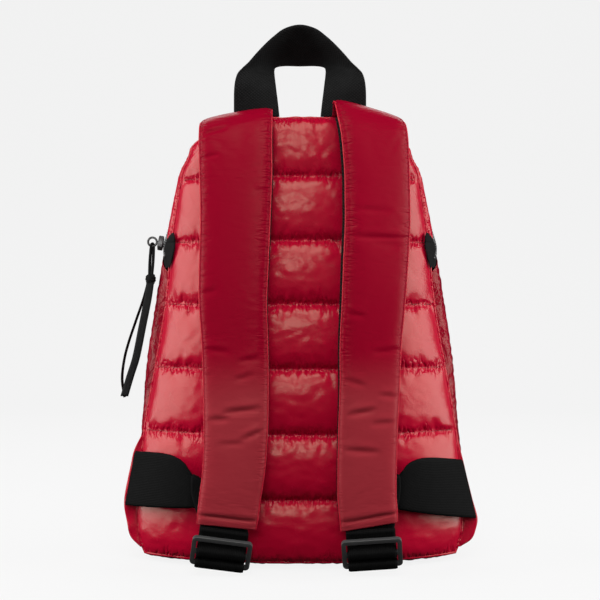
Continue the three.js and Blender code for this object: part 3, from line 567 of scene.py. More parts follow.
def woven(name, dark, pale, warp, weft, depth, roughness, lines=0.0):
    """warp and weft are threads per metre, depth is their height, and dark and pale are greys."""
    material, tree, shader = new_finish(name)
    place = place_node(tree, "UVMap", out="UV", uv_map="cloth")
    threads = use(tree, weave, Place=place, Warp=warp, Weft=weft, Lines=lines)
    rubs = use(tree, handling, Edge=threads("Height"), Amount=0.8, Size=160.0)
    crowns = threads("Height").times(0.55, plus=rubs("Rubbed"))
    surface(tree, shader, greys(dark, pale), crowns, threads("Gaps").times(0.2, plus=roughness),
            [(threads("Height"), 0.9, depth)])
    shader.inputs["Specular IOR Level"].default_value = WOVEN_SHINE
    return material


web_black = woven("webbing", 0.001, 0.0045, 760.0, 900.0, 0.00022, 0.66, 0.7)
handle_black = woven("handle_webbing", 0.002, 0.012, 700.0, 900.0, 0.0003, 0.66, 0.2)
cord_black = woven("pull_cord", 0.003, 0.012, 1500.0, 1500.0, 0.0001, 0.5)
tape_black = woven("zip_tape_cloth", 0.004, 0.012, 1500.0, 1500.0, 0.00015, 0.7)
ribbon_black = woven("ribbon", 0.003, 0.01, 1800.0, 1400.0, 0.0001, 0.38)
lining_black = woven("lining_mesh", 0.002, 0.014, 800.0, 800.0, 0.0004, 0.8)

# %% [markdown]
# The adjusters, teeth and slider are moulded: satin black with a fine grain, worn paler on their rims.

# %% Moulded plastic and the sweep
def moulded(name, base, worn, roughness, grain):
    material, tree, shader = new_finish(name)
    rim = place_node(tree, "NewGeometry", out="Pointiness")
    edge = place_node(tree, "MapRange", [("Value", rim), ("From Min", 0.5), ("From Max", 0.62)], out="Result")
    rubs = use(tree, handling, Edge=edge, Amount=1.0, Size=420.0)
    grains = noise(tree, place_node(tree, "TexCoord", out="Object"), 1800.0, 3.0)
    surface(tree, shader, greys(base, worn), rubs("Rubbed"), grains.times(0.16, plus=roughness),
            [(grains, 0.35, grain)])
    return material


plastic = moulded("satin_plastic", 0.026, 0.1, 0.32, 0.00008)
teeth_plastic = moulded("tooth_plastic", 0.012, 0.08, 0.28, 0.00004)

SWEEP_GREY, SWEEP_GLOW = 0.05, 0.86
sweep_white, tree, shader = new_finish("sweep_paper")
grains = noise(tree, place_node(tree, "TexCoord", out="Object"), 900.0, 3.0)
bump(tree, shader, [(grains, 0.05, 0.0001)])
shader.inputs["Base Color"].default_value = greys(SWEEP_GREY)[0]
shader.inputs["Roughness"].default_value = 0.95
shader.inputs["Specular IOR Level"].default_value = 0.0
shader.inputs["Emission Color"].default_value = (1, 1, 1, 1)
shader.inputs["Emission Strength"].default_value = SWEEP_GLOW
sweep.data.materials.append(sweep_white)
print("finishes:", ", ".join(m.name for m in bpy.data.materials if m.use_nodes)[:200])

# %% [markdown]
# ## The body's form
# One outline, read at any height, gives the width of the bag, how far its side seams lie behind the middle
# of the panel, and how deep its sides are. Both panels and the gusset between them come from it, so their
# seams meet.

# %% The body's form
BODY_HEIGHT, BASE_RISE, HALF_WIDTH = 0.346, 0.0066, 0.131
EDGE_SETBACK, BACK_CURVE, GUSSET_WIDTH = 0.046, 2.2, 0.046
SIDE_BULGE, TOP_BULGE, BASE_BULGE, BULGE_LEAN = 0.012, 0.004, 0.0095, 0.72
FRONT_BELLY, FRONT_CURVE, FRONT_WIDTH_SHARE, FRONT_TOP_DROP = 0.026, 2.4, 0.97, 0.012
TOP_CORNER_DROP, BASE_CORNER_RISE, BASE_MIDDLE = 0.019, 0.0005, 0.056
CLOTH, GAP, PUFF = 0.0025, 0.0003, 0.009
SEAMS = np.array([0, 0.139, 0.286, 0.434, 0.581, 0.725, 0.87, 1])
FILL = np.array([0.85, 1, 0.95, 1, 0.95, 0.9, 0.7])

PLACES = [0, 0.05, 0.14, 0.29, 0.43, 0.58, 0.73, 0.87, 1]
WIDTH = list(zip(PLACES, [0.955, 0.995, 1, 0.962, 0.898, 0.83, 0.788, 0.728, 0.655]))
SETBACK = list(zip(PLACES, [0.8, 0.84, 0.92, 1, 1, 0.98, 0.9, 0.76, 0.6]))
GUSSET = list(zip(PLACES, [1, 1.02, 1.04, 1, 0.96, 0.92, 0.88, 0.82, 0.76]))
BULGE = list(zip(PLACES, [0.4, 0.4, 0.42, 0.5, 0.9, 1, 0.7, 0.5, 0.4]))
BELLY = list(zip(PLACES, [0.8, 0.9, 1, 1, 0.95, 0.85, 0.7, 0.55, 0.45]))


def outline(u, t):
    """x and z of the body: u from the left seam (-1) to the right one (1), t from the bottom to the top."""
    drop = smooth((t - SEAMS[6]) / (1 - SEAMS[6])) * TOP_CORNER_DROP * u**4
    foot = (1 - smooth(t / (SEAMS[1] * 0.7))) * BASE_CORNER_RISE * u**8
    return HALF_WIDTH * along(WIDTH, t) * u, BASE_RISE + BODY_HEIGHT * t - drop + foot


def back_point(u, t, deep=0.0):
    u, t = np.broadcast_arrays(np.asarray(u, float), np.asarray(t, float))
    x, z = outline(u, t)
    return np.stack([x, EDGE_SETBACK * along(SETBACK, t) * np.abs(u)**BACK_CURVE + deep - BASE_MIDDLE, z], -1)


def front_point(u, t, deep=0.0):
    u, t = np.broadcast_arrays(np.asarray(u, float), np.asarray(t, float))
    x, z = outline(u, t)
    edge = EDGE_SETBACK * along(SETBACK, t) + GUSSET_WIDTH * along(GUSSET, t)
    belly = FRONT_BELLY * along(BELLY, t) * (1 - np.abs(u)**FRONT_CURVE)
    return np.stack([x * FRONT_WIDTH_SHARE, edge + belly + deep - BASE_MIDDLE, z - FRONT_TOP_DROP * t**4], -1)


def puff(u, t):
    """Height of the quilting over its seams."""
    channel = np.clip(np.searchsorted(SEAMS, t, side="right") - 1, 0, len(FILL) - 1)
    share = (t - SEAMS[channel]) / (SEAMS[channel + 1] - SEAMS[channel])
    up = np.sqrt(np.clip(1 - np.abs(2 * share - 1)**2.2, 0, 1))
    return PUFF * FILL[channel] * up * np.sqrt(np.clip(1 - np.abs(u)**7, 0, 1))


# %% [markdown]
# ## Quilted panels
# A panel starts as a grid on its quilted shape, with a row of points on every seam. The seams and the rim
# are pinned, the rest shape is a few per cent larger than the start, and small gathers are drawn into the
# cloth near the seams, where the needle gathers it.

# %% Quilted panels
def seam_rows(pitch):
    rows = []
    for low, high in zip(SEAMS[:-1], SEAMS[1:]):
        steps = max(6, round((high - low) * BODY_HEIGHT / pitch))
        rows += list(low + (high - low) * np.arange(steps) / steps)
    return np.array(rows + [1.0])


PINCH = [0.3, 0.6, 0.9, 0.9, 1.3, 0.8, 0.6, 0.4]  # strength at each seam, from the bottom up
PINCHES_PER_SEAM, PINCH_DEPTH, TUCK_DEPTH, TUCK_ZONE = 30, 0.0016, 0.0011, 0.016
START_PUFF, SHEET_UNEVENNESS = 0.86, 0.0005


def pinches(u, t, to_seam, random):
    """Short gathers square to every seam, each with its own place, width and reach."""
    x = u * HALF_WIDTH
    seam = np.argmin(np.abs(t[..., None] - SEAMS), -1)
    upper = t > SEAMS[seam]
    height = np.zeros(u.shape)
    for k, strength in enumerate(PINCH):
        for side in (False, True):
            here = (seam == k) & (upper == side)
            for _ in range(PINCHES_PER_SEAM):
                at = random.uniform(-HALF_WIDTH, HALF_WIDTH)
                wide, reach = random.uniform(0.0016, 0.003), random.uniform(0.004, 0.011)
                lean = random.uniform(-0.5, 0.5)
                depth = random.uniform(0.3, 1.0) * PINCH_DEPTH * strength
                fold = np.exp(-((x - at - lean * to_seam) / wide)**2)
                fold = fold * np.exp(-((to_seam - 0.002) / reach)**2)
                height -= np.where(here, depth * fold, 0)
    return height


def sharp_pinches(x, t, to_seam, random):
    """The needle's own small tucks, a few millimetres long on both sides of a seam."""
    seam = np.argmin(np.abs(t[:, None] - SEAMS), -1)
    upper = t > SEAMS[seam]
    height = np.zeros(x.shape)
    for k, strength in enumerate(PINCH):
        for side in (False, True):
            here = np.flatnonzero((seam == k) & (upper == side) & (to_seam < TUCK_ZONE))
            if not len(here):
                continue
            near_x, near_d = x[here], to_seam[here]
            fold = np.zeros(len(here))
            at = -HALF_WIDTH
            while at < HALF_WIDTH:
                at += random.uniform(0.0028, 0.0065)
                wide, reach = random.uniform(0.0009, 0.0016), random.uniform(0.0025, 0.0065)
                deep = random.uniform(0.25, 1.0) * TUCK_DEPTH * strength
                lean = random.uniform(-0.35, 0.35)
                tuck = deep * np.exp(-((near_x - at - lean * near_d) / wide)**2)
                fold += tuck * np.exp(-(near_d / reach)**2)
            height[here] = -fold
    return height


def quilted_panel(name, point, outward, pitch, spare_across, spare_up, caps, seed):
    rows = seam_rows(pitch)
    columns = np.linspace(-1, 1, 2 * round(HALF_WIDTH / pitch) + 1)
    U, T = np.meshgrid(columns, rows)
    random = np.random.default_rng(seed)
    channel = np.clip(np.searchsorted(SEAMS, T, side="right") - 1, 0, len(FILL) - 1)
    to_seam = np.minimum(T - SEAMS[channel], SEAMS[channel + 1] - T) * BODY_HEIGHT
    ripple = random.normal(0, 1, (len(rows), len(columns)))
    for _ in range(2):
        ripple = (ripple + np.roll(ripple, 1, 1) + np.roll(ripple, -1, 1) + np.roll(ripple, 1, 0)) / 4
    sewn = (to_seam < 1e-6) | (np.abs(U) > 0.9999)
    gathers = pinches(U, T, to_seam, random)
    uneven = np.where(sewn, 0, SHEET_UNEVENNESS * ripple + gathers)
    start = point(U, T, outward * (START_PUFF * puff(U, T) + uneven))
    solid = point(U, T, outward * puff(U, T))
    faces = grid_faces(*U.shape)
    if outward > 0:
        faces = faces[:, ::-1]
    piece = make_piece(name, start, faces, np.stack([solid[..., 0], to_seam], -1))
    middle = start.reshape(-1, 3).mean(0)
    rest = start.reshape(-1, 3).copy()
    rest[:, 0] = middle[0] + (rest[:, 0] - middle[0]) * (1 + spare_across)
    rest[:, 2] = middle[2] + (rest[:, 2] - middle[2]) * (1 + spare_up)
    after = billow(piece, sewn.ravel().astype(float), rest)
    out = np.broadcast_to(np.array([0, float(outward), 0]), after.shape)
    room = caps(U, T).ravel()
    settle(piece, solid.reshape(-1, 3), after, out, room, 0.006)
    refine(piece)
    points = np.array([v.co for v in piece.data.vertices])
    t = np.clip((points[:, 2] - BASE_RISE) / BODY_HEIGHT, 0, 1)
    to_seam = np.abs(t[:, None] - SEAMS[1:-1]).min(1) * BODY_HEIGHT
    at_rim = np.abs(points[:, 0]) / (HALF_WIDTH * along(WIDTH, t))
    held = smooth((1.0 - at_rim) / 0.06) * smooth(to_seam / 0.0012)
    points[:, 1] += outward * held * sharp_pinches(points[:, 0], t, to_seam, random)
    write_points(piece, points)
    return piece


def back_room(u, t):
    """How far the back panel may swell past its solid: little under the straps' roots and webbing."""
    x, z = outline(u, t)
    room = np.full(u.shape, 0.003)
    webbing = smooth((np.abs(x) - 0.07) / 0.01) * smooth((z - 0.035) / 0.01) * smooth((0.1 - z) / 0.01)
    roots = smooth((z - 0.31) / 0.02) * smooth((np.abs(x) - 0.012) / 0.008)
    return room * (1 - 0.93 * np.maximum(webbing, roots)) + 1e-5


back_panel = quilted_panel("back_panel_cloth", back_point, -1, 0.0023, 0.06, 0.03, back_room, 7)
stand_for(back_panel, "quilted_nylon", panel_red, "back_panel")

front_panel = quilted_panel("front_panel_cloth", lambda u, t, d: front_point(u, t, d + CLOTH), 1, 0.003,
                            0.05, 0.03, lambda u, t: np.full(u.shape, 0.003), 11)
stand_for(front_panel, "quilted_nylon", panel_red, "front_panel")

# %% [markdown]
# ## Gusset
# Sides, base and top front are one strip of the same nylon, sewn between the panels. It is not quilted, so
# its spare length gathers into crumples between its two seams. Its base colour is painted darker than the
# panels' red: painted shade for its less lit sides.

# %% The ring round the body
def body_round(pitch):
    """Places once round the body: along the bottom, up the right, back along the top and down the left."""
    across = np.linspace(-1, 1, round(2 * HALF_WIDTH / pitch) + 1)
    up = np.linspace(0, 1, round(BODY_HEIGHT / pitch) + 1)
    u = np.concatenate([across, np.ones(len(up) - 1), across[::-1][1:], -np.ones(len(up) - 2)])
    t = np.concatenate([np.zeros(len(across)), up[1:], np.ones(len(across) - 1), up[::-1][1:-1]])
    x, z = outline(u, t)
    near = 3
    run = unit(np.stack([np.roll(v, -near) - np.roll(v, near) for v in (x, z)], 1))
    side = SIDE_BULGE * along(BULGE, t)
    level = np.where(t == 0, BASE_BULGE, TOP_BULGE)
    flat = (t == 0) | (t == 1)
    bulge = np.where(flat, level + (side - level) * u**6, side)
    lean = np.where(flat, 1 + (BULGE_LEAN - 1) * u**16, BULGE_LEAN)
    back = back_point(u, t, CLOTH + GAP)
    front = front_point(u, t, -GAP)
    rise = (back[:, 2] - ZIP_END_HEIGHT) / ZIP_RISE
    zip_at = np.where(rise < -1, -ZIP_RUN_SHARE, ZIP_RUN_SHARE * np.sin(np.minimum(rise, 1) * math.pi / 2))
    return {"back": back, "front": front, "out": np.stack([run[:, 1], 0 * x, -run[:, 0]], 1), "bulge": bulge,
            "lean": lean, "width": front[:, 1] - back[:, 1], "zip": zip_at}


def gusset_point(ring, share, sink=0.0):
    """share across from the back seam (0) to the front seam (1), one column for each value."""
    share = np.asarray(share, float)
    if share.ndim == 1:
        share = share[:, None]
    point = ring["back"][:, None] + (ring["front"] - ring["back"])[:, None] * share[..., None]
    swell = ring["bulge"][:, None] * np.sin(math.pi * np.clip(share, 0, 1)**ring["lean"][:, None])**0.8
    point = point + ring["out"][:, None] * swell[..., None]
    point[..., 2] = np.maximum(point[..., 2], 0)
    return point - ring["out"][:, None] * np.broadcast_to(sink, share.shape)[..., None]


def part_of(ring, kept):
    return {key: value[kept] for key, value in ring.items()}


ZIP_END_HEIGHT, ZIP_RISE, ZIP_RUN_SHARE = 0.243, 0.03, 0.46
TAPE_HALF, TAPE_THICK, TAPE_SINK = 0.008, 0.001, 0.0007
ring = body_round(0.0024)
tape_share = TAPE_HALF / ring["width"]
below_zip = np.maximum(0, ring["zip"] - tape_share - GAP / ring["width"])
above_zip = np.maximum(0, ring["zip"] + tape_share + GAP / ring["width"])
print("round the body:", len(ring["zip"]), "places")

# %% Gusset and top strip
def crumpled_band(name, band, low, high, columns, closed, spare, cap, seed):
    """Cloth across part of the ring, between the shares low and high, swollen with its spare length."""
    shares = low[:, None] + (high - low)[:, None] * np.linspace(0, 1, columns + 1)
    solid = gusset_point(band, shares)
    random = np.random.default_rng(seed)
    inner = np.zeros(solid.shape[:2])
    inner[:, 1:-1] = random.normal(0, 0.0005, (len(low), columns - 1))
    start = solid - band["out"][:, None] * inner[..., None]
    length = lengths(solid[:, 0])[:, None]
    places = np.stack([np.broadcast_to(length, inner.shape), shares * 0.05], -1)
    piece = make_piece(name, start, grid_faces(*inner.shape, rows_closed=closed), places)
    sewn = np.zeros(inner.shape)
    sewn[:, [0, -1]] = 1
    if not closed:
        sewn[[0, -1]] = 1
    centre = start.reshape(-1, 3).mean(0)
    rest = centre + (start.reshape(-1, 3) - centre) * (1 + np.array(spare))
    after = billow(piece, sewn.ravel(), rest, steps=14, pressure=2.5)
    out = np.repeat(band["out"], columns + 1, 0)
    points = settle(piece, solid.reshape(-1, 3), after, out, np.full(len(out), cap), 0.005)
    points[:, 2] = np.maximum(points[:, 2], 0.0002)
    write_points(piece, points)
    refine(piece)
    return piece


gusset = crumpled_band("gusset_cloth", ring, above_zip, np.ones(len(above_zip)), 18, True,
                       [0.05, 0.06, 0.05], 0.002, 3)
stand_for(gusset, "quilted_nylon", gusset_shaded_red, "side_gusset")

covered = below_zip * ring["width"] > 0.0008
order = np.flatnonzero(covered)
strip_ring = part_of(ring, order)
top_strip = crumpled_band("top_strip_cloth", strip_ring, np.zeros(len(order)), below_zip[order], 8, False,
                          [0.05, 0.05, 0.05], 0.001, 5)
stand_for(top_strip, "quilted_nylon", panel_red, "top_strip")

# %% [markdown]
# ## Ribbons
# Handle, webbing, tape, tabs and ribbon tails are all one thing: a flat strip of even thickness between two
# edges. Only a few places along the edges are given, and a smooth curve runs through them. The strip keeps
# its own coordinates in metres, across and along, so its weave follows every fold.

# %% Tools for ribbons
def through(points, steps):
    """A smooth curve through the points, with that many steps between two of them."""
    points = np.asarray(points, float)
    ends = np.concatenate([2 * points[:1] - points[1:2], points, 2 * points[-1:] - points[-2:-1]])
    s = (np.arange(steps) / steps)[:, None]
    pieces = []
    for a, b, c, d in zip(ends[:-3], ends[1:-2], ends[2:-1], ends[3:]):
        slope_b, slope_c = (c - a) / 2, (d - b) / 2
        limit = np.linalg.norm(c - b)
        slope_b = slope_b * min(1, 1.2 * limit / max(np.linalg.norm(slope_b), 1e-9))
        slope_c = slope_c * min(1, 1.2 * limit / max(np.linalg.norm(slope_c), 1e-9))
        pieces.append((2 * s**3 - 3 * s**2 + 1) * b + (s**3 - 2 * s**2 + s) * slope_b
                      + (3 * s**2 - 2 * s**3) * c + (s**3 - s**2) * slope_c)
    return np.concatenate(pieces + [points[-1:]])


def ribbon(name, edge_a, edge_b, thick, columns=10, steps=6, relief=None):
    """A strip with rounded rims between two edges. relief(across, along) lifts both faces."""
    a, b = through(edge_a, steps), through(edge_b, steps)
    middle = (a + b) / 2
    run = np.gradient(middle, axis=0)
    across = b - a
    face = unit(np.cross(run, across))
    length = lengths(middle)
    share = (1 - np.cos(np.linspace(0, math.pi, columns + 1))) / 2
    share = 0.35 * share + 0.65 * np.linspace(0, 1, columns + 1)
    loop = np.concatenate([share, share[::-1]])
    sign = np.concatenate([np.ones(columns + 1), -np.ones(columns + 1)])
    rim = 0.35 + 0.65 * np.clip(1 - np.abs(2 * loop - 1)**24, 0, 1)**0.5
    lift = sign * rim * thick / 2
    points = a[:, None] + across[:, None] * loop[None, :, None]
    wide = np.linalg.norm(across, axis=1)
    places = np.stack(np.broadcast_arrays(loop[None] * wide[:, None], length[:, None]), -1)
    lift = np.broadcast_to(lift, points.shape[:2])
    if relief is not None:
        lift = lift + relief(loop[None], length[:, None])
    points = points + face[:, None] * lift[..., None]
    return make_piece(name, points, sleeve_faces(*points.shape[:2]), places, closed=True)


def tube(path, radius, sides=8, closed=False):
    """Points and faces of a round cord along a path. radius is one number or one for each point."""
    path = np.asarray(path, float)
    run = unit(np.roll(path, -1, 0) - np.roll(path, 1, 0) if closed else np.gradient(path, axis=0))
    side = np.empty_like(path)
    first = np.array([0.0, 0.0, 1.0]) if abs(run[0, 2]) < 0.8 else np.array([1.0, 0.0, 0.0])
    side[0] = unit(np.cross(run[0], first))
    for i in range(1, len(path)):
        side[i] = unit(side[i - 1] - run[i] * np.dot(side[i - 1], run[i]))
    other = np.cross(run, side)
    turn = np.linspace(0, 2 * math.pi, sides, endpoint=False)
    reach = np.broadcast_to(radius, len(path))[:, None, None]
    points = path[:, None] + reach * (side[:, None] * np.cos(turn)[None, :, None]
                                      + other[:, None] * np.sin(turn)[None, :, None])
    faces = grid_faces(len(path), sides, rows_closed=closed, cols_closed=True).tolist()
    if not closed:
        last = (len(path) - 1) * sides
        faces += [list(range(sides))[::-1], [last + k for k in range(sides)]]
    return points.reshape(-1, 3), faces


# %% [markdown]
# ## Grab handle
# A loop of webbing 38 mm wide is sewn into the top seam at both ends. Its crown leans back and turns on
# edge, so the underside shows through the window. The two edges of the strip are given apart from each
# other.

# %% Grab handle
HANDLE_HEIGHT, HANDLE_HALF, HANDLE_REACH = 0.074, 0.052, 0.04
WEB_WIDTH, WEB_THICK = 0.0375, 0.0016
HANDLE_OUTER = [(1, 0, 0), (1, .14, 0), (.99, .31, 0), (.952, .44, 0), (.875, .51, 0), (.77, .58, .02),
                (.654, .675, .04), (.53, .77, .07), (.4, .86, .12), (.23, .955, .2), (0, 1, .25)]
HANDLE_INNER = [(.31, 0, 0), (.33, .14, .01), (.36, .31, .06), (.385, .45, .25), (.394, .53, .5),
                (.385, .575, .66), (.346, .6, .77), (.288, .615, .85), (.21, .625, .92),
                (.115, .63, .98), (0, .63, 1)]


def top_seam(x):
    return back_point(np.asarray(x) / (HALF_WIDTH * 0.655), 1.0, CLOTH / 2)


def handle_edge(rows, outer_rows):
    points = []
    for (x, z, y), (_, outer_z, _) in zip(rows, outer_rows):
        sewn = max(0.0, 1 - outer_z / 0.31)
        seam = (top_seam(x * HANDLE_HALF) - top_seam(0.0)) * sewn
        crown = top_seam(0.0) + np.array([0, y * HANDLE_REACH + 2 * GAP + WEB_THICK / 2,
                                          z * HANDLE_HEIGHT + GAP + TOP_BULGE * 0.4])
        points.append([x * HANDLE_HALF, crown[1] + seam[1], crown[2] + seam[2]])
    points = np.array(points)
    return np.concatenate([points * [-1, 1, 1], points[:-1][::-1]])


handle = ribbon("grab_handle_webbing", handle_edge(HANDLE_OUTER, HANDLE_OUTER),
                handle_edge(HANDLE_INNER, HANDLE_OUTER), WEB_THICK, columns=16, steps=6)
stand_for(handle, "webbing", handle_black, "grab_handle")

# %% [markdown]
# ## Shoulder straps
# Each strap is a flat pad of foam in the same nylon, sewn into the top seam, folded over and hanging in
# front of the panel. Its rows say how far down, how far out and how wide it is, and how it turns.

# %% The straps' form
STRAP_LENGTH, STRAP_HALF, STRAP_INSET, STRAP_STANDOFF = 0.316, 0.0285, 0.0495, 0.027
STRAP_PAD, LINING_THICK, LINING_GAP, PAD_UNDERSIDE = 0.0052, 0.0018, 0.0005, 0.55
STRAP_ROOT_RISE, STRAP_ROOT_FORE = 0.002, 0.0006
SEAM_TOP = BASE_RISE + BODY_HEIGHT
# down, out, pad, half, shift, yaw, roll, seam
STRAP_ROWS = {
    "left": (-1, [
        (0, -.05, .24, 1, 0, 10, 0, 1), (-.006, .1, .32, 1, 0, 10, -5, .7),
        (-.006, .26, .45, 1, 0, 10, -7, .35), (.01, .44, .62, 1, 0, 10, -6, .12),
        (.036, .58, .8, 1, 0, 10, -4, 0), (.08, .72, .95, .995, 0, 10, -2, 0),
        (.16, .84, 1, .98, -.01, 10, 0, 0), (.26, .92, 1, .945, -.005, 10, 0, 0),
        (.36, .97, .98, .935, .015, 10, 0, 0), (.46, 1, 1, .91, .03, 9, 0, 0),
        (.56, 1, .97, .885, 0, 8, 0, 0), (.66, 1, 1, .87, -.015, 7, 0, 0),
        (.76, .98, .98, .85, -.015, 6, 0, 0), (.86, .95, 1, .825, .015, 5, 2, 0),
        (.93, .93, .95, .81, .075, 4, 4, 0), (.975, .91, .8, .805, .11, 4, 5, 0),
        (1, .9, .5, .79, .13, 4, 5, 0)]),
    "right": (1, [
        (0, -.05, .24, 1, .07, 10, 0, 1), (-.014, .1, .32, 1, .07, 11, -8, .7),
        (-.02, .28, .45, 1.02, .075, 13, -13, .35), (-.006, .48, .62, 1.02, .09, 16, -13, .12),
        (.024, .63, .8, 1.01, .12, 19, -9, 0), (.07, .76, .95, .98, .16, 22, -4, 0),
        (.16, .86, 1, .955, .19, 23, 0, 0), (.26, .93, 1, .955, .195, 23, 0, 0),
        (.36, .98, .98, .94, .165, 22, 0, 0), (.46, 1, 1, .905, .13, 20, 0, 0),
        (.56, 1, .97, .86, .085, 17, 0, 0), (.66, 1, 1, .82, .07, 14, 0, 0),
        (.76, .98, .98, .8, .045, 11, 1, 0), (.86, .95, 1, .79, .03, 9, 3, 0),
        (.93, .93, .95, .785, .03, 8, 6, 0), (.975, .91, .8, .78, .055, 8, 8, 0),
        (1, .9, .5, .77, .065, 8, 8, 0)]),
}


def strap_frame(rows, sign):
    """Middle, half vector across, outward direction and pad share along the strap."""
    rows = np.asarray(rows, float)
    down, out, pad, half, shift, yaw, roll, seam = rows.T
    yaw, roll = np.radians(yaw), np.radians(roll)
    middle = np.stack([sign * STRAP_INSET * (1 + shift), -STRAP_STANDOFF * out - BASE_MIDDLE,
                       SEAM_TOP + STRAP_ROOT_RISE - STRAP_LENGTH * down], -1)
    across = np.stack([sign * np.cos(yaw) * np.cos(roll), np.sin(yaw), np.sin(roll)], -1)
    across = across * (STRAP_HALF * half)[:, None]

    def at(share):
        point = middle + across * share
        sewn = top_seam(point[:, 0]) + [0, -STRAP_ROOT_FORE, STRAP_ROOT_RISE]
        return point + (np.stack([point[:, 0], sewn[:, 1], sewn[:, 2]], -1) - point) * seam[:, None]

    run = np.gradient(at(0.0), axis=0)
    outward = -sign * unit(np.cross(at(1.0) - at(-1.0), run))
    return at, outward, pad


def fine_strap(side, steps):
    """The strap's rows, read smoothly at many places."""
    sign, rows = STRAP_ROWS[side]
    return sign, through(np.array(rows), steps)


# %% [markdown]
# The face of a pad is cloth over foam: it gets spare length along the strap only, which makes the short
# cross folds of a strap that has been bent. Its rims are bound with a narrow piping that catches the light.

# %% Straps
# down the strap, middle across, half length across, depth in mm, slope
CREASES = {
    "left": [(.10, .55, .3, .5, .3), (.16, .7, .25, .4, .3), (.24, -.8, .2, .35, 0),
             (.47, .75, .25, .4, .2), (.60, .55, .35, .5, -.1), (.62, -.5, .3, .5, .2),
             (.735, -.2, .5, .9, .14), (.79, -.55, .3, .8, .5), (.755, .5, .3, .7, .05),
             (.81, .1, .4, .4, .1), (.66, -.3, .25, .5, .35), (.98, 0, .9, .7, 0)],
    "right": [(.30, -.3, .6, .35, .05), (.36, .1, .85, .7, .03), (.375, .35, .5, .4, .02),
              (.53, -.6, .25, .4, .2), (.61, .5, .4, .5, -.1), (.71, .6, .3, .5, .1),
              (.745, -.3, .4, .9, -.16), (.77, .45, .35, .6, -.03), (.83, -.25, .5, .8, .12),
              (.68, -.55, .3, .5, .3), (.98, 0, .9, .7, 0)],
}


def creases(side, across, down):
    depth = np.zeros(np.broadcast(across, down).shape)
    for at, middle, half, deep, slope in CREASES[side]:
        off = (down - at - slope * 0.06 * (across - middle)) * STRAP_LENGTH
        reach = np.clip(1 - ((across - middle) / (1.35 * half))**2, 0, 1)
        fold = np.exp(-(off / 0.0015)**2) - 0.45 * np.exp(-((off + 0.0038) / 0.0026)**2)
        depth += 0.0024 * deep * reach * fold
    return depth


def strap_pad(side, seed):
    sign, rows = fine_strap(side, 16)
    at, outward, pad = strap_frame(rows, sign)
    even = np.linspace(-1, 1, 27)
    shares = np.sin(even * math.pi / 2) * 0.35 + even * 0.65
    thick = (STRAP_PAD * pad)[:, None]
    crown = np.clip(1 - np.abs(shares)**7, 0, 1)**0.5
    upper = np.stack([at(s) for s in shares], 1)
    upper = upper + outward[:, None] * (thick * (0.12 + 0.88 * crown))[..., None]
    random = np.random.default_rng(seed)
    ripple = random.normal(0, 1, upper.shape[:2])
    for _ in range(3):
        ripple = (2 * ripple + np.roll(ripple, 1, 1) + np.roll(ripple, -1, 1)) / 4
    inner = np.zeros(ripple.shape)
    inner[1:-1, 1:-1] = 0.00012 * ripple[1:-1, 1:-1]
    start = upper + outward[:, None] * inner[..., None]
    width = np.linalg.norm(at(1.0) - at(-1.0), axis=1)
    length = lengths(at(0.0))
    places = np.stack(np.broadcast_arrays(shares[None] * width[:, None] / 2, length[:, None]), -1)
    folds = creases(side, shares[None], (length / length[-1])[:, None])
    start = start - outward[:, None] * folds[..., None]
    upper = upper - outward[:, None] * folds[..., None]
    sheet = make_piece(f"strap_pad_cloth_{side}", start, grid_faces(*ripple.shape), places)
    facing_out = np.broadcast_to(outward[:, None], upper.shape).reshape(-1, 3)
    sewn = np.zeros(ripple.shape)
    sewn[:, [0, -1]] = 1
    sewn[-1] = 1
    sewn[:6] = 1
    rest = start.reshape(-1, 3).copy()
    rest[:, 2] = rest[:, 2].mean() + (rest[:, 2] - rest[:, 2].mean()) * 1.01
    flipped = sum(p.normal.y for p in sheet.data.polygons) > 0
    after = billow(sheet, sewn.ravel(), rest, steps=14, pressure=-1.2 if flipped else 1.2, bend=0.4)
    room = np.full(len(facing_out), 0.0012)
    top = settle(sheet, upper.reshape(-1, 3), after, facing_out, room, 0.0016).reshape(upper.shape)
    under = np.stack([at(s) for s in shares[::-1]], 1) - outward[:, None] * (
        thick * PAD_UNDERSIDE * (0.2 + 0.8 * crown[::-1]))[..., None]
    points = np.concatenate([top, under], 1)
    both = np.concatenate([places, places[:, ::-1]], 1)
    bpy.data.objects.remove(sheet)
    faces = sleeve_faces(*points.shape[:2])
    pad_piece = make_piece(f"strap_pad_cloth_{side}", points, faces, both, closed=True)
    refine(pad_piece)
    stand_for(pad_piece, "quilted_nylon", strap_red, f"strap_pad_{side}")

    keep = slice(32, None)
    left_rim, right_rim = at(-1.0) + outward * thick * 0.1, at(1.0) + outward * thick * 0.1
    end = np.stack([at(s)[-1] + outward[-1] * thick[-1] * 0.1 for s in np.linspace(-1, 1, 14)[1:-1]])
    path = np.concatenate([left_rim[keep], end, right_rim[keep][::-1]])
    piping = make_piece(f"strap_piping_{side}", *tube(path, 0.0006, 8))
    stand_for(piping, "quilted_nylon", piping_red)

    sink = (PAD_UNDERSIDE * STRAP_PAD * pad)[:, None] + LINING_GAP + LINING_THICK / 2
    low = at(-1.012) - outward * sink
    high = at(1.012) - outward * sink
    lining = ribbon(f"strap_lining_mesh_{side}", low[64::8], high[64::8], LINING_THICK, 12, steps=3)
    stand_for(lining, "lining_mesh", lining_black, f"strap_lining_{side}")


strap_pad("left", 21)
strap_pad("right", 22)

# %% [markdown]
# ## Adjusters and webbing
# At the end of each pad a tab of webbing holds a moulded three-bar adjuster. The lower webbing comes from
# the anchor tab in the side seam, folds down on the slant behind the pad, and goes round the adjuster's
# lower bar. The adjusters keep the solid's own frame, with its hard edges rounded as a mould leaves them.

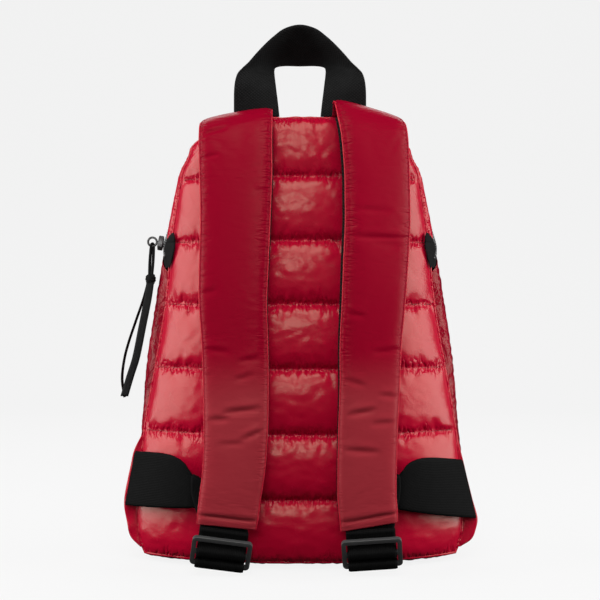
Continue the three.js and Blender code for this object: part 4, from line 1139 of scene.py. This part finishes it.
# %% Adjusters
def bevelled_copy(node, name, width):
    """The shape of a solid, cleaned of its triangles' seams and rounded along its edges."""
    form = bmesh.new()
    form.from_mesh(frame["nodes"][node].data)
    bmesh.ops.remove_doubles(form, verts=form.verts, dist=1e-6)
    bmesh.ops.dissolve_limit(form, angle_limit=math.radians(3), verts=form.verts, edges=form.edges)
    mesh = bpy.data.meshes.new(name)
    form.to_mesh(mesh)
    form.free()
    piece = bpy.data.objects.new(name, mesh)
    bpy.context.collection.objects.link(piece)
    rounding = piece.modifiers.new("rounding", "BEVEL")
    rounding.width, rounding.segments = width, 3
    rounding.limit_method, rounding.angle_limit = "ANGLE", math.radians(35)
    rounding.harden_normals = False
    worked_in(piece)
    piece.data.polygons.foreach_set("use_smooth", [True] * len(piece.data.polygons))
    return piece


for side in ("left", "right"):
    adjuster = bevelled_copy(f"adjuster_{side}", f"adjuster_moulded_{side}", 0.0007)
    stand_for(adjuster, "black_plastic", plastic, f"adjuster_{side}")

# %% Webbing at the adjusters
ADJUSTER_TILT, ADJUSTER_RISE, BAR_HALF, FACE = 0.42, 0.0166, 0.0017, 0.0017
UPPER_BAR, MIDDLE_BAR, LOWER_BAR, BAR_CLEARANCE = 0.013, 0.0016, -0.0084, 0.0014
ROUND, NEAR = BAR_HALF + BAR_CLEARANCE, FACE + BAR_CLEARANCE
FAR = NEAR + WEB_THICK + GAP
LEAN = {"left": (0.0045, 0.15), "right": (0.0023, 0.08)}
FOLD_OUTSET = {"left": 0.64, "right": 0.59}
BAND_TOP, BAND_STANDOFF, BAND_BOW, FOLD_RADIUS = 0.088, 0.009, 0.008, 0.0022
TAB_CLEARANCE, HANG_BACK, ANCHOR_REACH, ANCHOR_THICK = 0.002, 0.008, 0.0126, 0.0022
# share of the height, share of the reach
ANCHOR_ROWS = {
    "left": [(.012, .2), (.035, .62), (.065, .72), (.11, .9), (.15, .84), (.19, .7), (.235, .55), (.27, .2)],
    "right": [(.012, .25), (.03, .8), (.055, .95), (.08, 1), (.12, .72), (.16, .5), (.215, .28), (.26, .12)],
}
# share of the band's run, how far its upper edge rises over the straight line
BAND_SAG = ((0, 0), (0.12, -0.0025), (0.28, -0.0055), (0.5, -0.009), (0.72, -0.0105), (0.9, -0.0075))


def strap_end(side):
    sign, rows = STRAP_ROWS[side]
    at, _, _ = strap_frame(np.array(rows), sign)
    return sign, at(0.0)[-1]


def at_adjuster(side, x, up, fore):
    """A point from the adjuster's own middle: x across, up along the frame, fore towards the viewer."""
    sign, middle = strap_end(side)
    outset, lean = LEAN[side]
    turn = -sign * lean
    sideways = x * math.cos(turn) + up * math.sin(turn)
    rise = up * math.cos(turn) - x * math.sin(turn)
    return [middle[0] + sign * outset + sideways,
            middle[1] - rise * math.sin(ADJUSTER_TILT) - fore * math.cos(ADJUSTER_TILT),
            ADJUSTER_RISE + rise * math.cos(ADJUSTER_TILT) - fore * math.sin(ADJUSTER_TILT)]


def round_bar(bar):
    """The way round a bar, from its lower side over its back to its upper side, as (up, fore)."""
    return [(bar - ROUND, -FACE), (bar - ROUND, FACE), (bar - BAR_HALF, NEAR), (bar + BAR_HALF, NEAR),
            (bar + ROUND, FACE)]


def strap_tab(side):
    pad_end = (strap_end(side)[1][2] - ADJUSTER_RISE) / math.cos(ADJUSTER_TILT)
    top = pad_end - FAR * math.tan(ADJUSTER_TILT) - TAB_CLEARANCE
    route = [(top, -FAR), (UPPER_BAR, -FAR), (MIDDLE_BAR + BAR_HALF, -FAR),
             (MIDDLE_BAR - BAR_HALF, -NEAR - WEB_THICK / 2)]
    route += round_bar(MIDDLE_BAR)
    route += [(MIDDLE_BAR + ROUND + 1.5 * FACE, -FACE), (MIDDLE_BAR + ROUND + 2.4 * FACE, -NEAR),
              (UPPER_BAR, -NEAR), (top, -NEAR)]
    edges = [[at_adjuster(side, s * WEB_WIDTH / 2, up, fore) for up, fore in route] for s in (-1, 1)]
    return ribbon(f"strap_tab_webbing_{side}", *edges, WEB_THICK, columns=12, steps=4)


def lower_web(side):
    """Pairs of points on both edges: from the side seam to the fold, round it, and down to the lower bar."""
    sign = strap_end(side)[0]
    rows = ANCHOR_ROWS[side]
    fold_x = sign * HALF_WIDTH * FOLD_OUTSET[side]
    band_low = BAND_TOP - WEB_WIDTH

    def sewn(row, share):
        point = back_point(float(sign), row[0], -ANCHOR_THICK / 2)
        return point + [sign * ANCHOR_REACH * row[1] * share, 0, 0]

    end_high, end_low = sewn(rows[6], 0.8), sewn(rows[3], 0.9)
    y = -BAND_STANDOFF - BASE_MIDDLE
    fold_high = np.array([fold_x, y, BAND_TOP - 0.013])
    fold_low = np.array([fold_x - sign * WEB_WIDTH, y, band_low])
    turn_low = np.array([fold_x - sign * WEB_WIDTH * 0.3, y, band_low])
    pairs = []
    for share, drop in BAND_SAG:
        bow = np.array([0, -4 * BAND_BOW * share * (1 - share), 0])
        pairs.append((end_high + (fold_high - end_high) * share + (bow - [0, 0, drop]),
                      end_low + (turn_low - end_low) * share + bow))
    outwards = unit(np.array([-sign, 0, 1.0]))
    for angle in np.linspace(0, math.pi, 5):
        shift = outwards * FOLD_RADIUS * math.sin(angle) + [0, -FOLD_RADIUS * (1 - math.cos(angle)), 0]
        pairs.append((fold_high + shift, fold_low + shift))
    fore = y - 2 * FOLD_RADIUS
    pairs.append(([fold_x, fore, BAND_TOP - 0.7 * WEB_WIDTH],
                  [fold_low[0], fore, band_low - 0.1 * WEB_WIDTH]))
    behind = -FAR - WEB_THICK
    down = [(UPPER_BAR + BAR_HALF, behind - HANG_BACK), (MIDDLE_BAR + BAR_HALF, behind - HANG_BACK / 3),
            (LOWER_BAR + 1.3 * BAR_HALF, -FAR - WEB_THICK / 3), (LOWER_BAR - BAR_HALF, -FAR + WEB_THICK / 4)]
    down += round_bar(LOWER_BAR)
    down += [(LOWER_BAR + ROUND, -FACE), (LOWER_BAR + 0.8 * BAR_HALF, -NEAR),
             (LOWER_BAR - 0.25 * BAR_HALF, -NEAR)]
    half = sign * WEB_WIDTH / 2
    pairs += [(at_adjuster(side, half, *at), at_adjuster(side, -half, *at)) for at in down]
    edges = [[pair[k] for pair in pairs] for k in (0, 1)]
    return ribbon(f"lower_webbing_{side}", *edges, WEB_THICK, columns=16, steps=4)


for side in ("left", "right"):
    stand_for(strap_tab(side), "webbing", web_black, f"strap_tab_{side}")
    stand_for(lower_web(side), "webbing", web_black, f"lower_web_{side}")

# %% [markdown]
# ## Anchor tabs
# A folded piece of the red nylon is sewn into each side seam and carries the lower webbing. Its outline
# leaves the seam in a shallow point, and its edge is turned.

# %% Anchor tabs
for side in ("left", "right"):
    sign = strap_end(side)[0]
    rows = np.array(ANCHOR_ROWS[side])
    seam_edge = back_point(float(sign), rows[:, 0], CLOTH / 2) + [sign * GAP, 0, 0]
    free_edge = seam_edge + sign * ANCHOR_REACH * rows[:, 1:] * [1, 0, 0]
    waves = np.random.default_rng(31 + sign).normal(0, 0.0004, 3)

    def crumple(across, length, waves=waves):
        swing = [w * np.sin((2 + 2 * k) * 6.28 * length / 0.09 + k + 2 * across) for k, w in enumerate(waves)]
        return sum(swing) * across

    tab = ribbon(f"anchor_tab_cloth_{side}", seam_edge, free_edge, ANCHOR_THICK, 8, 8, crumple)
    stand_for(tab, "quilted_nylon", panel_red, f"anchor_tab_{side}")

# %% [markdown]
# ## Zip
# The tape is sewn along the top of the gusset from one side to the other, and the teeth run along its
# middle in two rows that lock between each other. Each tooth is a small bevelled block, laid along the
# tape's own path.

# %% Zip tape and teeth
TOOTH_PITCH, TOOTH_OFFSET, TOOTH_SIZE = 0.0023, 0.0011, (0.0008, 0.0016, 0.0016)
taped = np.flatnonzero((ring["zip"] + tape_share) * ring["width"] > 0.0024)
tape_ring = part_of(ring, taped)
low_share = np.maximum(0, tape_ring["zip"] - TAPE_HALF / tape_ring["width"])
high_share = tape_ring["zip"] + TAPE_HALF / tape_ring["width"]
shares = low_share[:, None] + (high_share - low_share)[:, None] * np.linspace(0, 1, 9)
tape_top = gusset_point(tape_ring, shares, TAPE_SINK)
tape_low = gusset_point(tape_ring, shares[:, ::-1], TAPE_SINK + TAPE_THICK)
both_sides = np.concatenate([shares, shares[:, ::-1]], 1) * 0.04
places = np.stack(np.broadcast_arrays(both_sides, lengths(tape_top[:, 4])[:, None]), -1)
tape = make_piece("zip_tape_woven", np.concatenate([tape_top, tape_low], 1),
                  grid_faces(len(taped), 18, cols_closed=True), places, closed=True)
stand_for(tape, "zip_tape", tape_black, "zip_tape")

toothed = part_of(ring, np.flatnonzero(ring["zip"] * ring["width"] > 0.0012))
line = gusset_point(toothed, toothed["zip"][:, None], TAPE_SINK - GAP)[:, 0]
length = lengths(line)
spots = np.arange(TOOTH_PITCH, length[-1] - TOOTH_PITCH, TOOTH_PITCH / 2)
spot_at = read_path(line, length, spots)
spot_out = unit(read_path(toothed["out"], length, spots))
spot_run = unit(np.gradient(spot_at, axis=0))
spot_out = unit(spot_out - spot_run * (spot_out * spot_run).sum(1)[:, None])
spot_side = np.cross(spot_out, spot_run)
tooth = np.array([(grow * x, grow * y, z) for z, grow in ((0, 1.0), (0.7, 1.0), (1.0, 0.6))
                  for x, y in ((-1, -1), (1, -1), (1, 1), (-1, 1))]) * TOOTH_SIZE
tooth_faces = [[k, (k + 1) % 4, (k + 1) % 4 + 4, k + 4] for k in range(4)]
tooth_faces += [[k + 4, (k + 1) % 4 + 4, (k + 1) % 4 + 8, k + 8] for k in range(4)] + [[8, 9, 10, 11]]
teeth = []
for k, (middle, run, side_way, out) in enumerate(zip(spot_at, spot_run, spot_side, spot_out)):
    middle = middle + side_way * (1 if k % 2 else -1) * TOOTH_OFFSET
    teeth.append((middle + tooth @ np.stack([run, side_way, out]), tooth_faces))
zip_teeth = make_piece("zip_teeth", *joined(teeth), soft=False, closed=True)
stand_for(zip_teeth, "black_plastic", teeth_plastic, "zip_coil")

# %% [markdown]
# The slider is parked at the left end. A small ring carries a doubled cord, and below its knot hang two cut
# ribbons: they are the free ends here, each a flat strip built from its real length.

# %% Slider, ring, cord and knot
slider = bevelled_copy("zip_slider", "zip_slider_moulded", 0.0006)
stand_for(slider, "black_plastic", plastic, "zip_slider")

RING_RADIUS, RING_WIRE, RING_LOW, KNOT_TOP, STRAND = 0.0036, 0.0009, 0.0028, 0.0028, 0.00125


def middle_of(node):
    low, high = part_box(node)
    return np.array((low + high) / 2)


ring_at = middle_of("zip_pull_ring")
turns = np.linspace(0, 2 * math.pi, 40, endpoint=False)
ring_path = ring_at + np.stack([RING_RADIUS * np.cos(turns), 0 * turns, RING_RADIUS * np.sin(turns)], -1)
pull_ring = make_piece("zip_ring_wire", *tube(ring_path, RING_WIRE, 12, closed=True), closed=True)
stand_for(pull_ring, "black_plastic", plastic, "zip_pull_ring")

knot_at = middle_of("zip_pull_knot")
strands = []
for hand in (-1, 1):
    s = np.linspace(0, 1, 22)[:, None]
    top = ring_at + [hand * 0.0009, hand * 0.0007, -RING_LOW]
    path = top + (knot_at + [hand * 0.0011, -hand * 0.0012, KNOT_TOP] - top) * s
    path = path + np.array([hand * 0.0004, -hand * 0.0004, 0]) * np.sin(math.pi * s)
    strands.append(tube(path, STRAND, 8))
turn = np.linspace(math.pi, 0, 12)
over = np.stack([0.0009 * np.cos(turn), 0.0007 * np.cos(turn), 0.0014 * np.sin(turn)], -1)
over = ring_at + [0, 0, -RING_LOW] + over
strands.append(tube(over, 0.00115, 8))
pull_cord = make_piece("zip_cord", *joined(strands), closed=True)
stand_for(pull_cord, "webbing", cord_black, "zip_pull_cord")

wraps = []
turns = np.linspace(0, 2 * math.pi * 3, 90)
lift = np.linspace(0.0026, -0.0029, 90)
round_off = 0.0029 * np.sqrt(1 - (lift / 0.0038)**2)
wrap = np.stack([round_off * np.cos(turns), round_off * np.sin(turns), lift], -1)
wraps.append(tube(knot_at + wrap, 0.0016, 8))
core = np.linspace(0.0036, -0.0042, 8)[:, None] * np.array([[0, 0, 1.0]])
wraps.append(tube(knot_at + core, 0.0024 * np.array([0.5, 0.9, 1, 1, 1, 1, 0.9, 0.6]), 10))
for lean in (-1, 1):
    arc = np.linspace(-1, 1, 16)
    path = np.stack([lean * 0.0022 * arc, -0.0026 * np.sqrt(1.02 - arc**2) - 0.0006, 0.0026 * arc], -1)
    wraps.append(tube(knot_at + path, 0.0012, 8))
knot = make_piece("zip_knot", *joined(wraps), closed=True)
stand_for(knot, "webbing", cord_black, "zip_pull_knot")

# %% Ribbon tails
TAIL_LENGTH, TAIL_WIDTH, TAIL_THICK = 0.097, 0.007, 0.0011
# out, fore and down from the knot, in shares of the tail's length
TAIL_ROUTES = {
    "flat": ([(0, .03, 0), (.02, .05, .15), (.06, .08, .37), (.11, .1, .63), (.16, .1, .79), (.21, .1, .96)],
             (0.94, -0.34, 0)),
    "edge": ([(.025, -.025, 0), (.07, -.05, .15), (.135, -.07, .33), (.2, -.08, .52), (.237, -.08, .67),
              (.253, -.08, .83), (.23, -.07, .98)], (0.1, 0.99, 0)),
}
tail_start = knot_at - [0, 0, 0.0028]
for kind, (route, wide) in TAIL_ROUTES.items():
    path = tail_start - np.array(route) * TAIL_LENGTH
    half = unit(np.array(wide)) * TAIL_WIDTH / 2
    tail = ribbon(f"zip_tail_{kind}", path - half, path + half, TAIL_THICK, columns=6, steps=8)
    stand_for(tail, "webbing", ribbon_black, f"zip_pull_tail_{kind}")
    tuple(path[0])
    [tuple(p) for p in path]

# %% [markdown]
# At both ends of the zip the gusset is drawn back, so that the tape shows from behind as a narrow black
# crescent beside the panel's rim. It is the tape's own last stretch, turned over the seam.

# %% The tape's turned ends
for sign in (-1.0, 1.0):
    share = np.linspace(0, 1, 30)
    height = 0.2365 + 0.029 * share
    spread = np.sin(math.pi * share**1.4)
    t = (height - BASE_RISE) / BODY_HEIGHT
    inset = 0.0028 * spread**0.8
    rim = back_point(np.full(30, sign), t, -0.0032) + spread[:, None]**0.6 * [sign * 0.0062, 0.005, 0]
    u = sign * (1 - inset / (HALF_WIDTH * along(WIDTH, t)))
    lap = back_point(u, t, -puff(u, t) - 0.0026)
    edges = (lap, rim) if sign < 0 else (rim, lap)
    piece = ribbon(f"zip_tape_end_{'right' if sign > 0 else 'left'}", *edges, TAPE_THICK, 8, steps=2)
    stand_for(piece, "zip_tape", tape_black)

# %% [markdown]
# ## Seams
# Each seam of the quilting is a row of short stitches that sink into the cloth. Where panels meet the
# gusset, a narrow welt stands up along the seam. Both are real thread and cloth here, laid along the body's
# own curves.

# %% Stitches and welts
STITCH, THREAD, WELT = 0.0032, 0.00035, 0.0015


def stitches(path, stitch=STITCH, radius=THREAD):
    """Short lengths of thread along a path, each one thinner at its ends."""
    length = lengths(path)
    shapes = []
    for start in np.arange(0, length[-1] - stitch, stitch):
        spots = start + stitch * np.array([0.08, 0.28, 0.5, 0.72, 0.92])
        shapes.append(tube(read_path(path, length, spots), radius * np.array([0.3, 0.9, 1, 0.9, 0.3]), 5))
    return joined(shapes)


across = np.linspace(-0.985, 0.985, 200)
threads = [stitches(back_point(across, t, -0.0006)) for t in SEAMS[1:-1]]
threads += [stitches(front_point(across, t, 0.0006 + CLOTH)) for t in SEAMS[1:-1]]
quilt_thread = make_piece("quilt_stitches", *joined(threads))
stand_for(quilt_thread, "quilted_nylon", thread_red)

welt_ring = body_round(0.003)
back_welt = welt_ring["back"] - [0, CLOTH * 0.6, 0]
front_welt = welt_ring["front"] + [0, CLOTH * 0.6, 0]
random = np.random.default_rng(9)
for name, path in (("back_seam_welt", back_welt), ("front_seam_welt", front_welt)):
    path = path + welt_ring["out"] * 0.0002
    path[:, 2] = np.maximum(path[:, 2], 0.0018)
    thick = WELT + 0.2 * WELT * np.convolve(random.normal(0, 1, len(path) + 2), [0.3, 0.4, 0.3], "valid")
    welt = make_piece(name, *tube(path, thick, 8, closed=True), closed=True)
    stand_for(welt, "quilted_nylon", panel_red)
